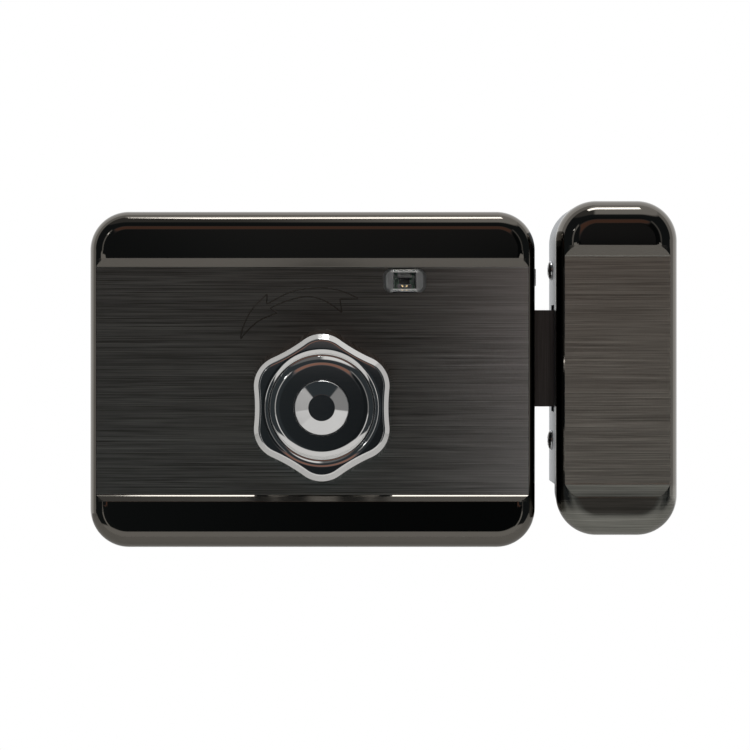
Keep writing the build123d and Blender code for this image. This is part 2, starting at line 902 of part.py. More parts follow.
def face_air():
    """Ring of air over the valley between the knob's rim and its crown."""
    over = -(crown_front + knob_rim_round)
    half = valley_turn / 2
    crown = [point_on_bend(crown_flat_radius, crown_front, crown_bend, turn) for turn in (0, half, valley_turn)]
    rim = [point_on_bend(face_radius, knob_front, rim_bend, -turn) for turn in (valley_turn, half, 0)]
    outline = Wire([ThreePointArc(*crown),
                    ThreePointArc(*rim),
                    Line(rim[2], (face_radius, over)),
                    Line((face_radius, over), (crown_flat_radius, over)),
                    Line((crown_flat_radius, over), crown[0])])
    return revolve(make_face(outline), Axis.Y)


def knob_bore():
    """Bore for the flatted end of the spindle."""
    half = spindle_radius + screw_fit
    flat = Pos(0, spindle_radius - knob_flat) * Rectangle(2 * half, 2 * half)
    return extrude(facing_room(knob_rear) * (Circle(half) & flat), amount=spindle_front - knob_rear)


def knob():
    body = knob_cup() + disc(0, 0, valley_radius, valley_front, crown_front)
    body -= face_air()
    body -= disc(0, 0, button_radius + button_gap, spindle_front - screw_fit, crown_front)
    body -= knob_bore()
    return body - bar_along_z(0, grub_depth, grub_radius + screw_fit, -2 * knob_base_lobe, -knob_flat)


def knob_grub_screw():
    outer = -knob_flat - grub_length
    screw = bar_along_z(0, grub_depth, grub_radius, outer, -knob_flat - screw_fit)
    hexagon = Plane.XY.offset(outer) * Pos(0, -grub_depth) * RegularPolygon(grub_radius / 2, 6)
    return screw - extrude(hexagon, amount=grub_length / 2)


def push_button():
    cap = turned([(0, button_rear), (button_radius, button_rear), (button_radius, button_edge),
                  (button_dot_radius, button_front), (0, button_front)])
    rim = cap.edges().filter_by(GeomType.CIRCLE).group_by(Axis.Y)[1]
    cap = fillet(rim, button_edge_round)
    return cap - disc(0, 0, rod_radius, button_rear, button_rear + rod_socket)


def button_rod():
    tail = cross_pin_depth - cross_pin_radius - rod_tail / 2
    rod = disc(0, 0, rod_radius, tail, button_rear + rod_socket)
    return rod - bar_along_x(cross_pin_depth, 0, cross_pin_radius, -rod_radius, rod_radius)


def cross_pin_reach():
    """Half the pin's length: it ends inside the collar."""
    return collar_radius - cross_pin_radius


def cross_pin():
    reach = cross_pin_reach()
    return bar_along_x(cross_pin_depth, 0, cross_pin_radius, -reach, reach)


def switch_collar():
    collar = ring(0, 0, collar_radius, spindle_radius + running_fit, collar_rear, collar_front)
    reach = cross_pin_reach()
    return collar - bar_along_x(cross_pin_depth, 0, cross_pin_radius, -reach, reach)


def button_spring():
    length = button_rear - spindle_front - 2 * spring_wire_radius - 2 * screw_fit
    start = spindle_front + spring_wire_radius + screw_fit
    helix = Plane.XZ.offset(start).location * Helix(length / spring_turns, length, spring_radius)
    profile = Plane(origin=helix @ 0, z_dir=helix % 0) * Circle(spring_wire_radius)
    return sweep(profile, path=helix)


# Bolt with its rack, and what guides them
def deadbolt():
    bar = block(bolt_left, bolt_right, bolt_low, bolt_high, bolt_rear, bolt_front)
    bar = chamfer(bar.faces().sort_by(Axis.X)[-1].edges(), bolt_chamfer)
    bar -= magnet_form(0)
    for x, z in rack_screw_places():
        bar -= disc(x, z, rack_screw_radius, bolt_rear, bolt_rear + rack_screw_depth)
    return bar


def magnet_form(gap):
    x = bolt_left + bolt_magnet_from_left
    return disc(x, bolt_high - bolt_magnet_from_top, bolt_magnet_radius + gap,
                bolt_front - bolt_magnet_depth, bolt_front)


def bolt_magnet():
    return magnet_form(-screw_fit)


def rack_screw_places():
    middle = (bolt_left + rack_right) / 2
    z = rack_gear_radius + rack_screw_height
    return [(middle - rack_screw_pitch / 2, z), (middle + rack_screw_pitch / 2, z)]


def rack_outline():
    """Rack with its teeth down, a gap over the spindle when the bolt is out."""
    pitch = math.pi * rack_module
    slope = math.tan(pressure_angle)
    half = pitch / 4 - backlash / 4
    tip = rack_gear_radius - addendum * rack_module
    root = rack_gear_radius + dedendum * rack_module
    at_tip = half - (rack_gear_radius - tip) * slope
    at_root = half + (root - rack_gear_radius) * slope
    first = math.ceil((rack_left + at_root) / pitch - 0.5)
    last = math.floor((bolt_travel + rack_run_on - at_root) / pitch - 0.5)
    points = [(rack_right, rack_top), (rack_left, rack_top), (rack_left, root)]
    for tooth in range(first, last + 1):
        middle = (tooth + 0.5) * pitch
        points += [(middle - at_root, root), (middle - at_tip, tip),
                   (middle + at_tip, tip), (middle + at_root, root)]
    points.append((rack_right, root))
    return make_face(Polyline(points, close=True))


def bolt_rack():
    head_front = rack_rear + rack_screw_head_height
    rack = extrude(facing_room(rack_rear) * rack_outline(), amount=gear_thickness)
    for x, z in rack_screw_places():
        rack -= disc(x, z, rack_screw_radius + screw_fit, rack_rear, rack_front)
        rack -= disc(x, z, rack_screw_head_radius + screw_fit, rack_rear, head_front)
    return rack


def rack_screws():
    head_front = rack_rear + rack_screw_head_height
    end = bolt_rear + rack_screw_depth - rack_screw_end_gap
    screws = []
    for x, z in rack_screw_places():
        screw = disc(x, z, rack_screw_head_radius, rack_rear, head_front)
        screws.append(screw + disc(x, z, rack_screw_radius - pressed_fit, rack_rear, end))
    return together(screws)


def rack_rail():
    low = rack_top + guide_play
    rail = block(rail_left, rail_right, low, low + rail_height, plate_thickness, rack_front)
    return fillet(rail.edges().filter_by(Axis.Y), rail_height / 4)


def bolt_guide():
    opening_low = bolt_low - guide_play
    opening_high = bolt_high + guide_play
    front = bolt_front + guide_play + guide_wall / 2
    guide = block(guide_left, guide_right, opening_low - guide_wall, opening_high + guide_wall,
                  plate_thickness, front)
    guide = fillet(guide.edges().filter_by(Axis.X), guide_wall / 3)
    guide -= block(guide_left, guide_right, opening_low, opening_high,
                   bolt_rear - guide_play, bolt_front + guide_play)
    core = bolt_rear - guide_play - guide_wall / 2
    return guide - block(guide_left + guide_wall / 2, guide_right - guide_wall / 2, bolt_low, bolt_high,
                         plate_thickness, core)


# Motor and gearbox
def gearbox_post_places():
    """Three of the gearbox's corners: the fourth is over the train."""
    left = gearbox_left + gearbox_post_inset
    right = gearbox_right - gearbox_post_inset
    low = gearbox_low + gearbox_post_inset
    high = gearbox_high - gearbox_post_inset
    return [(left, low), (left, high), (right, high)]


def gearbox():
    lid_rear = gearbox_front - gearbox_lid
    lip = gearbox_lid_lip
    box = soft_block(gearbox_left, gearbox_right, gearbox_low, gearbox_high, gearbox_rear, lid_rear,
                     gearbox_corner)
    box += soft_block(gearbox_left - lip, gearbox_right + lip, gearbox_low - lip, gearbox_high,
                      lid_rear, gearbox_front, gearbox_corner + lip)
    box -= disc(pinion_x, pinion_z, shaft_radius + running_fit, gearbox_rear,
                gearbox_rear + shaft_socket + seat_gap)
    for x, z in gearbox_post_places():
        box -= disc(x, z, small_screw_radius, gearbox_rear, gearbox_rear + gearbox_screw_depth)
    return box


def gearbox_posts():
    bore = small_screw_radius + screw_fit
    return together(ring(x, z, gearbox_post_radius, bore, plate_thickness, gearbox_rear)
                    for x, z in gearbox_post_places())


def upright(section, low, height):
    """Bar up Z from a section on the motor's axis."""
    return extrude(Plane.XY.offset(low) * Pos(motor_x, -gearbox_middle) * section, amount=height)


def motor():
    top = gearbox_high + motor_length
    section = Circle(motor_radius) & Rectangle(3 * motor_radius, 2 * motor_flat)
    can = upright(section, gearbox_high, motor_length)
    can = fillet(can.faces().sort_by(Axis.Z)[-1].edges(), motor_end_round)
    can += upright(Circle(motor_cap_radius), top, motor_cap_height)
    tab = Rectangle(motor_tab_thickness, motor_tab_width)
    for x in (-motor_tab_x, motor_tab_x):
        can += upright(Pos(x, 0) * tab, top, motor_tab_length)
    return can


# Control board
def board_post_places():
    """The board's two own posts, near its top corners."""
    z = board_high - board_post_inset
    return [(board_left + board_post_inset, z), (board_right - board_post_from_right, z)]


def board_screw_places():
    return board_post_places() + upper_bridge_places()


def control_board():
    board = soft_block(board_left, board_right, board_low, board_high, board_rear, board_front,
                       board_corner)
    for x, z in board_screw_places():
        board -= disc(x, z, small_screw_radius + screw_fit, board_rear, board_front)
    return board


def board_standoffs():
    bore = small_screw_radius + screw_fit
    standoffs = []
    for x, z in board_post_places():
        post = disc(x, z, board_post_radius, plate_thickness, board_rear)
        standoffs.append(post - disc(x, z, bore, board_rear - screw_bore_depth, board_rear))
    for x, z in upper_bridge_places():
        standoffs.append(ring(x, z, board_post_radius, bore, bridge_front, board_rear))
    return together(standoffs)


def board_screws():
    reach = board_thickness + screw_bite
    return together(screw_from_room(x, z, board_front, reach) for x, z in board_screw_places())


def terminal_block():
    left = terminal_x - terminal_length / 2
    low = terminal_z - terminal_height / 2
    middle = (board_front + tall_part_front) / 2
    body = slab(terminal_x, terminal_z, terminal_length, terminal_height, board_front, tall_part_front)
    top_edge = front_face(body).edges().sort_by(Axis.Z)[-1:]
    body = chamfer(top_edge, terminal_chamfer)
    step = terminal_length / terminal_ways
    for way in range(terminal_ways):
        x = left + step * (way + 0.5)
        body -= disc(x, terminal_z, terminal_hole_radius, middle, tall_part_front)
        body -= block(x - terminal_hole_radius, x + terminal_hole_radius, low, low + terminal_mouth_depth,
                      board_front + terminal_mouth_low, middle)
    return body


def motor_socket():
    wall = socket_wall
    body = slab(socket_x, socket_z, socket_width, socket_height, board_front, low_part_front)
    body -= slab(socket_x, socket_z, socket_width - 2 * wall, socket_height - 2 * wall,
                 board_front + wall, low_part_front)
    for x in (socket_x - socket_pin_pitch / 2, socket_x + socket_pin_pitch / 2):
        body += slab(x, socket_z, socket_pin, socket_pin, board_front, low_part_front - socket_pin_sink)
    return body


def buzzer():
    body = disc(buzzer_x, buzzer_z, buzzer_radius, board_front, low_part_front)
    body = fillet(front_face(body).edges(), buzzer_round)
    return body - disc(buzzer_x, buzzer_z, buzzer_hole_radius, low_part_front - buzzer_hole_depth,
                       low_part_front)


def capacitor():
    body = disc(capacitor_x, capacitor_z, capacitor_radius, board_front, tall_part_front)
    return fillet(front_face(body).edges(), capacitor_round)


def controller_chip():
    body = slab(terminal_x, board_low + chip_above_low, chip_side, chip_side,
                board_front, board_front + chip_depth)
    return chamfer(front_face(body).edges(), chip_chamfer)


def bolt_sensor():
    """Magnetic sensor on the board's rear, over the magnet in the thrown bolt."""
    size = bolt_sensor_size
    return slab(bolt_left + bolt_magnet_from_left, board_low + size / 2, size, size,
                board_rear - bolt_sensor_depth, board_rear)


# Indicator window and its light
def window_outline(gap, rear, front):
    half_width = window_width / 2 + gap
    half_height = window_height / 2 + gap
    return soft_block(window_x - half_width, window_x + half_width,
                      window_z - half_height, window_z + half_height,
                      rear, front, window_corner + gap)


def hollow_outline(gap, rear, front):
    """Space in front of the light, inside its shade and behind the window."""
    return slab(window_x, window_z, window_hollow_width + 2 * gap, window_hollow_height + 2 * gap,
                rear, front)


def indicator_window():
    rear = panel_inside - window_flange_depth
    lens = window_outline(0, rear, panel_depth + window_proud)
    lens = fillet(front_face(lens).edges(), window_edge_round)
    lens += window_outline(window_flange, rear, panel_inside)
    return lens - hollow_outline(0, rear, panel_inside + window_hollow_depth)


def light_shade():
    front = panel_inside - window_flange_depth
    return hollow_outline(shade_wall, board_front, front) - hollow_outline(0, board_front, front)


def status_light():
    return slab(window_x, window_z, light_width, light_height, board_front, board_front + light_depth)


# Door sensor in the case's right side
def sensor_stem(gap):
    half_z = sensor_height / 2 + gap
    half_depth = sensor_depth_size / 2 + gap
    right = case_right + sensor_proud
    return block(right - sensor_length, right, sensor_z - half_z, sensor_z + half_z,
                 sensor_depth - half_depth, sensor_depth + half_depth)


def door_sensor():
    stem = sensor_stem(0)
    stem = fillet(stem.faces().sort_by(Axis.X)[-1].edges(), sensor_edge_round)
    inside = case_right - case_wall
    half_z = sensor_height / 2 + sensor_flange
    half_depth = sensor_depth_size / 2 + sensor_flange
    flange = block(inside - sensor_flange, inside, sensor_z - half_z, sensor_z + half_z,
                   sensor_depth - half_depth, sensor_depth + half_depth)
    room = soft_block(case_left + case_wall, inside, case_low + case_wall, case_high - case_wall,
                      0, case_depth, case_corner - case_wall)
    return stem + (flange & room)


# Keeper: cover, bracket and the pieces between them
def wrap_wedge(grow, rear, front):
    """Space on the keeper's lock side, from the foot of one corner to the head of the other."""
    wrap = math.radians(bracket_wrap)
    reach = keeper_corner * (1 - math.cos(wrap))
    rise = keeper_corner * (1 - math.sin(wrap))
    return block(keeper_left - bracket_thickness, keeper_left + reach + grow,
                 keeper_low + rise - grow, keeper_high - rise + grow, rear, front)


def keeper_sizes():
    """Edges, depth, roundings and panel of the keeper's cover."""
    panel = (keeper_panel_low, keeper_panel_high, keeper_panel_sink, keeper_step_lower, keeper_step_upper)
    return (keeper_left, keeper_right, keeper_low, keeper_high, case_depth, keeper_corner,
            keeper_edge_round, panel)


def keeper_cover():
    cover = hollow_cover(*keeper_sizes())
    return cover - wrap_wedge(0, 0, case_depth - keeper_lip_depth)


def keeper_sheet(inset, rear, front):
    """Solid with the keeper's outline, less an inset."""
    return soft_block(keeper_left + inset, keeper_right - inset, keeper_low + inset, keeper_high - inset,
                      rear, front, keeper_corner - inset)


def bracket_side(front):
    """Flange of the bracket along the keeper's lock side, round at its lower front corner."""
    side = keeper_sheet(0, 0, front) - keeper_sheet(bracket_thickness, 0, front)
    side &= wrap_wedge(-screw_fit, 0, front)
    side &= block(keeper_left, keeper_right, bracket_low, keeper_high, 0, front)
    foot_edge = side.edges().filter_by(Axis.X).group_by(Axis.Z)[0].sort_by(Axis.Y)[0]
    return fillet(foot_edge, bracket_round)


def keeper_bracket():
    outside = keeper_left - bracket_thickness
    bracket = bracket_side(case_depth - keeper_lip_depth - bracket_front_gap)
    bracket += keeper_sheet(case_wall + drop_in_gap, 0, bracket_thickness)
    bracket += block(keeper_left, keeper_mid_x, bracket_low, keeper_high - keeper_corner,
                     0, bracket_thickness)
    bracket -= block(outside, bracket_inside, bolt_low - strike_play, bolt_high + strike_play,
                     bolt_rear - strike_play, bolt_front + strike_play)
    for z in (keeper_upper_screw_z, keeper_lower_screw_z):
        bracket -= bar_along_x(keeper_screw_depth, z, keeper_screw_radius + screw_fit,
                               outside, bracket_inside)
    for x, z in keeper_hole_places():
        bracket -= disc(x, z, keeper_hole_radius, 0, bracket_thickness)
    return bracket


def keeper_hole_places():
    return [(keeper_mid_x + side * keeper_hole_half_x, keeper_mid_z + way * keeper_hole_half_z)
            for side in (-1, 1) for way in (-1, 1)]


def keeper_block(z):
    """Threaded block behind one bracket screw, standing on the cover's inside."""
    left = bracket_inside + drop_in_gap
    half = keeper_block_height / 2
    post = block(left, left + keeper_block_width, z - half, z + half, keeper_block_rear,
                 keeper_panel_inside)
    post &= cover_room(*keeper_sizes())
    return post - bar_along_x(keeper_screw_depth, z, keeper_screw_radius + screw_fit,
                              left, left + keeper_screw_reach)


def keeper_magnet_form(gap):
    left = bracket_inside + drop_in_gap
    return bar_along_x(sensor_depth, sensor_z, keeper_magnet_radius + gap,
                       left, left + keeper_magnet_thickness)


def keeper_blocks():
    upper = keeper_block(keeper_upper_screw_z) - keeper_magnet_form(screw_fit)
    return together([upper, keeper_block(keeper_lower_screw_z)])


def keeper_magnet():
    return keeper_magnet_form(0)


def keeper_screws():
    end = bracket_inside + drop_in_gap + keeper_screw_reach - keeper_screw_end_gap
    screws = []
    for z in (keeper_upper_screw_z, keeper_lower_screw_z):
        head = bar_along_x(keeper_screw_depth, z, keeper_head_radius,
                           keeper_left - keeper_head_height, keeper_left)
        head = fillet(head.faces().sort_by(Axis.X)[0].edges(), keeper_head_round)
        screws.append(head + bar_along_x(keeper_screw_depth, z, keeper_screw_radius, keeper_left, end))
    return together(screws)


nodes = {
    "front_cover": front_cover,
    "cover_posts": cover_posts,
    "plate_screws": plate_screws,
    "back_plate": back_plate,
    "door_bolt_bosses": door_bolt_bosses,
    "cable_grommet": cable_grommet,
    "bridge_posts": bridge_posts,
    "bridge_plate": bridge_plate,
    "bridge_screws": bridge_screws,
    "button_switch": button_switch,
    "switch_plunger": switch_plunger,
    "drive_gear": drive_gear,
    "rack_gear": rack_gear,
    "idler_gear": idler_gear,
    "idler_axle": idler_axle,
    "idler_clip": idler_clip,
    "motor_pinion": motor_pinion,
    "output_shaft": output_shaft,
    "spindle": spindle,
    "spindle_clip": spindle_clip,
    "knob_bush": knob_bush,
    "knob": knob,
    "knob_grub_screw": knob_grub_screw,
    "push_button": push_button,
    "button_rod": button_rod,
    "cross_pin": cross_pin,
    "switch_collar": switch_collar,
    "button_spring": button_spring,
    "deadbolt": deadbolt,
    "bolt_magnet": bolt_magnet,
    "bolt_rack": bolt_rack,
    "rack_screws": rack_screws,
    "rack_rail": rack_rail,
    "bolt_guide": bolt_guide,
    "gearbox": gearbox,
    "gearbox_posts": gearbox_posts,
    "motor": motor,
    "control_board": control_board,
    "board_standoffs": board_standoffs,
    "board_screws": board_screws,
    "terminal_block": terminal_block,
    "motor_socket": motor_socket,
    "buzzer": buzzer,
    "capacitor": capacitor,
    "controller_chip": controller_chip,
    "bolt_sensor": bolt_sensor,
    "indicator_window": indicator_window,
    "light_shade": light_shade,
    "status_light": status_light,
    "door_sensor": door_sensor,
    "keeper_cover": keeper_cover,
    "keeper_bracket": keeper_bracket,
    "keeper_blocks": keeper_blocks,
    "keeper_magnet": keeper_magnet,
    "keeper_screws": keeper_screws,
}

for node, make in nodes.items():
    export_step(make(), f"parts/{node}.step")
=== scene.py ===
"""Looks of an electric rim lock with its keeper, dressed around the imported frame."""

import logging
import math
from dataclasses import dataclass, field
from enum import Enum

import bmesh
import bpy
from mathutils import Matrix, Vector


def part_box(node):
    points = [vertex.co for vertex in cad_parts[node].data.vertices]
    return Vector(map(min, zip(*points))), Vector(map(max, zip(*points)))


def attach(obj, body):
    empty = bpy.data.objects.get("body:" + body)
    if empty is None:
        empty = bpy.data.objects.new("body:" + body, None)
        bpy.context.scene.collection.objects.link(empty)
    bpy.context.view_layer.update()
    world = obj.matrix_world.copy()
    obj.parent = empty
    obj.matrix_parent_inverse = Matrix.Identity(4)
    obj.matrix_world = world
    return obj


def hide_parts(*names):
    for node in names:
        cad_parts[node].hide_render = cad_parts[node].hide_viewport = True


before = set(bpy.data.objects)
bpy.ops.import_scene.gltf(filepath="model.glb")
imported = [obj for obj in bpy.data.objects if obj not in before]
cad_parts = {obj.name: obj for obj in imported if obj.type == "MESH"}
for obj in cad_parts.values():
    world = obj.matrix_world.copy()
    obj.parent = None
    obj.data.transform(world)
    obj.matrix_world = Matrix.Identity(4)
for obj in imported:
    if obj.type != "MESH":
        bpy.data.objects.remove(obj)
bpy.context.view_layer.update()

log = logging.getLogger("rim_lock")
MM = 0.001
WELD = 1e-5
USUAL_NOISE = (0.3, 0.7)
Point2 = tuple[float, float]
Point3 = tuple[float, float, float]
Colour = tuple[float, float, float]
Piece = bpy.types.Object
Socket = bpy.types.NodeSocket
Value = Socket | float


class Run(Enum):
    """Direction in which a prism is drawn out, or in which a grain runs."""

    ALONG_X = "x"
    INTO_DOOR = "y"
    ALONG_Z = "z"


# Meshes: everything is drawn in millimetres, with depths counted from the door, and scaled once at the end


def room(x: float, z: float, depth: float) -> Point3:
    """Point at a depth in front of the door."""
    return (x, -depth, z)


def turn_outwards(piece: Piece) -> Piece:
    """Merges a piece's doubled corners and makes its faces look outwards.

    Args:
        piece: A closed piece, or a loose outline.

    Returns:
        The piece.
    """
    work = bmesh.new()
    work.from_mesh(piece.data)
    bmesh.ops.remove_doubles(work, verts=work.verts, dist=WELD)
    bmesh.ops.recalc_face_normals(work, faces=work.faces)
    work.to_mesh(piece.data)
    work.free()
    return piece


def new_piece(name: str, points: list[Point3], faces: list[list[int]],
              edges: tuple[tuple[int, int], ...] = ()) -> Piece:
    """Makes a mesh object whose faces look outwards.

    Args:
        name: Name of the object and of its mesh.
        points: Corners, in millimetres.
        faces: Corner numbers of each face.
        edges: Corner numbers of each edge that belongs to no face.

    Returns:
        The object, linked to the scene.
    """
    mesh = bpy.data.meshes.new(name)
    mesh.from_pydata(points, edges, faces)
    piece = bpy.data.objects.new(name, mesh)
    bpy.context.scene.collection.objects.link(piece)
    return turn_outwards(piece)


def rectangle(left: float, right: float, low: float, high: float) -> list[Point2]:
    """Outline of a rectangle.

    Args:
        left: Left edge.
        right: Right edge.
        low: Low edge.
        high: High edge.

    Returns:
        Its corners, once round.
    """
    return [(left, low), (right, low), (right, high), (left, high)]


def arc(centre: Point2, radius: float, start: float, end: float, steps: int) -> list[Point2]:
    """Points along an arc.

    Args:
        centre: Middle of the arc.
        radius: Its radius.
        start: First bearing, in degrees.
        end: Last bearing, in degrees.
        steps: Number of chords.

    Returns:
        The points, both ends among them.
    """
    turns = [math.radians(start + (end - start) * i / steps) for i in range(steps + 1)]
    return [(centre[0] + radius * math.cos(t), centre[1] + radius * math.sin(t)) for t in turns]


def eased(path: list[Point2], radii: tuple[float, ...], steps: int) -> list[Point2]:
    """Path whose inner corners are rounded.

    Args:
        path: Corners, both ends among them.
        radii: Radius at each inner corner.
        steps: Chords per rounding.

    Returns:
        The points of the rounded path.
    """
    made = [path[0]]
    for before, at, after, radius in zip(path, path[1:], path[2:], radii):
        corner = Vector(at)
        back = (Vector(before) - corner).normalized()
        ahead = (Vector(after) - corner).normalized()
        half = back.angle(ahead) / 2
        middle = corner + (back + ahead).normalized() * radius / math.sin(half)
        start = (corner + back * radius / math.tan(half) - middle).normalized()
        end = (corner + ahead * radius / math.tan(half) - middle).normalized()
        made += [tuple(middle + start.slerp(end, i / steps) * radius) for i in range(steps + 1)]
    return made + [path[-1]]


def flowing(points: list[Point2], steps: int = 5) -> list[Point2]:
    """Smooth path through points.

    Args:
        points: Points on the path.
        steps: Chords from one point to the next.

    Returns:
        The points of the path, both ends among them.
    """
    around = [Vector(p) for p in (points[0], *points, points[-1])]
    made: list[Point2] = []
    for before, start, end, after in zip(around, around[1:], around[2:], around[3:]):
        for t in (i / steps for i in range(steps)):
            bend = (before * (-t + 2 * t ** 2 - t ** 3) + start * (2 - 5 * t ** 2 + 3 * t ** 3)
                    + end * (t + 4 * t ** 2 - 3 * t ** 3) + after * (t ** 3 - t ** 2))
            made.append(tuple(bend / 2))
    return made + [points[-1]]


def round_outline(left: float, right: float, low: float, high: float, corner: float,
                  steps: int) -> list[Point2]:
    """Outline of a rectangle with round corners.

    Args:
        left: Left edge.
        right: Right edge.
        low: Low edge.
        high: High edge.
        corner: Radius of the corners.
        steps: Chords per corner.

    Returns:
        The outline's points, once round.
    """
    middles = [(right - corner, high - corner, 0), (left + corner, high - corner, 90),
               (left + corner, low + corner, 180), (right - corner, low + corner, 270)]
    return [p for x, z, start in middles for p in arc((x, z), corner, start, start + 90, steps)]


def rings_solid(name: str, rings: list[list[Point3]]) -> Piece:
    """Closed solid over a stack of rings, capped at both ends.

    Args:
        name: Name of the piece.
        rings: Rings with the same number of points.

    Returns:
        The piece.
    """
    count = len(rings[0])
    points = [p for ring in rings for p in ring]
    faces = [list(range(count)), list(range(len(points) - count, len(points)))]
    for first in range(0, len(points) - count, count):
        for i in range(count):
            j = (i + 1) % count
            faces.append([first + i, first + j, first + count + j, first + count + i])
    return new_piece(name, points, faces)


def prism(name: str, outline: list[Point2], run: Run, start: float, end: float) -> Piece:
    """Straight prism over an outline.

    Args:
        name: Name of the piece.
        outline: (x, z) points for INTO_DOOR, (depth, z) points for ALONG_X.
        run: Direction in which the outline is drawn out.
        start: Where the prism starts.
        end: Where it ends.

    Returns:
        The piece.
    """
    if run is Run.INTO_DOOR:
        return rings_solid(name, [[room(x, z, depth) for x, z in outline] for depth in (start, end)])
    return rings_solid(name, [[room(x, z, depth) for depth, z in outline] for x in (start, end)])


def lathe(name: str, profile: list[Point2], steps: int) -> Piece:
    """Solid of revolution about the thumbturn's axis.

    Args:
        name: Name of the piece.
        profile: (radius, depth) points, from the axis round and back to the axis.
        steps: Number of facets round.

    Returns:
        The piece.
    """
    turns = [2 * math.pi * i / steps for i in range(steps)]
    points: list[Point3] = []
    rows: list[list[int]] = []
    for radius, depth in profile:
        if radius < WELD:
            rows.append([len(points)] * steps)
            points.append(room(0.0, 0.0, depth))
            continue
        rows.append(list(range(len(points), len(points) + steps)))
        points += [room(radius * math.cos(t), radius * math.sin(t), depth) for t in turns]
    faces = []
    for upper, lower in zip(rows, rows[1:] + rows[:1]):
        if upper[0] == upper[1] and lower[0] == lower[1]:
            continue
        for i in range(steps):
            j = (i + 1) % steps
            faces.append(list(dict.fromkeys([upper[i], upper[j], lower[j], lower[i]])))
    return new_piece(name, points, faces)


def settle(piece: Piece) -> Piece:
    """Turns a piece's modifiers into its mesh and takes them off.

    Args:
        piece: A piece with modifiers.

    Returns:
        The piece, with plain mesh data.
    """
    graph = bpy.context.evaluated_depsgraph_get()
    mesh = bpy.data.meshes.new_from_object(piece.evaluated_get(graph))
    piece.modifiers.clear()
    piece.data = mesh
    return piece


def cut_out(piece: Piece, tools: list[Piece], crossing: bool = False) -> Piece:
    """Cuts solids out of a piece.

    Args:
        piece: The piece that stays.
        tools: Solids that are used up.
        crossing: Whether one of the solids crosses itself.

    Returns:
        The piece.
    """
    for tool in tools:
        step = piece.modifiers.new("cut", "BOOLEAN")
        step.operation = "DIFFERENCE"
        step.object = tool
        step.solver = "EXACT"
        step.use_self = crossing
    settle(piece)
    for tool in tools:
        bpy.data.objects.remove(tool)
    return piece


def smooth(piece: Piece, crease: float = 30.0) -> Piece:
    """Shades a piece smooth, with large faces kept flat and edges sharper than the crease angle kept sharp.

    Args:
        piece: The piece.
        crease: Angle in degrees from which an edge is sharp.

    Returns:
        The piece, with plain mesh data.
    """
    piece.data.shade_smooth()
    piece.data.set_sharp_from_angle(angle=math.radians(crease))
    weigh = piece.modifiers.new("weigh", "WEIGHTED_NORMAL")
    weigh.keep_sharp = True
    weigh.weight = 50
    return settle(piece)


def hand_over(piece: Piece, body: str, finish: "Finish",
              stands_for: tuple[str, ...] = ()) -> Piece:
    """Scales a finished piece to metres, dresses it and gives it to its body.

    Args:
        piece: The piece, in millimetres.
        body: CAD body that it rides on.
        finish: Its surface.
        stands_for: CAD nodes that it replaces.

    Returns:
        The piece.
    """
    piece.data.transform(Matrix.Scale(MM, 4))
    piece.data.materials.clear()
    piece.data.materials.append(finish.material())
    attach(piece, body)
    if stands_for:
        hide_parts(*stands_for)
    log.info("%s rides on %s, %d faces", piece.name, body, len(piece.data.polygons))
    return piece


# Places from the frame


@dataclass(frozen=True)
class Extent:
    """Edges of a CAD node at rest, in millimetres, its rear and front as depths."""

    left: float
    right: float
    low: float
    high: float
    rear: float
    front: float

    @classmethod
    def of(cls, node: str) -> "Extent":
        """Reads a node's box from the frame."""
        corners = [[round(value / MM, 3) for value in corner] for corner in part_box(node)]
        (left, front, low), (right, rear, high) = corners
        return cls(left, right, low, high, -rear, -front)

    def middle(self) -> Point2:
        """(x, z) of its middle."""
        return (self.left + self.right) / 2, (self.low + self.high) / 2

    def slot(self, grow: float) -> list[Point2]:
        """Outline of a slot for the node, seen from the side, as (depth, z) points."""
        return rectangle(self.rear - grow, self.front + grow, self.low - grow, self.high + grow)


# Node trees


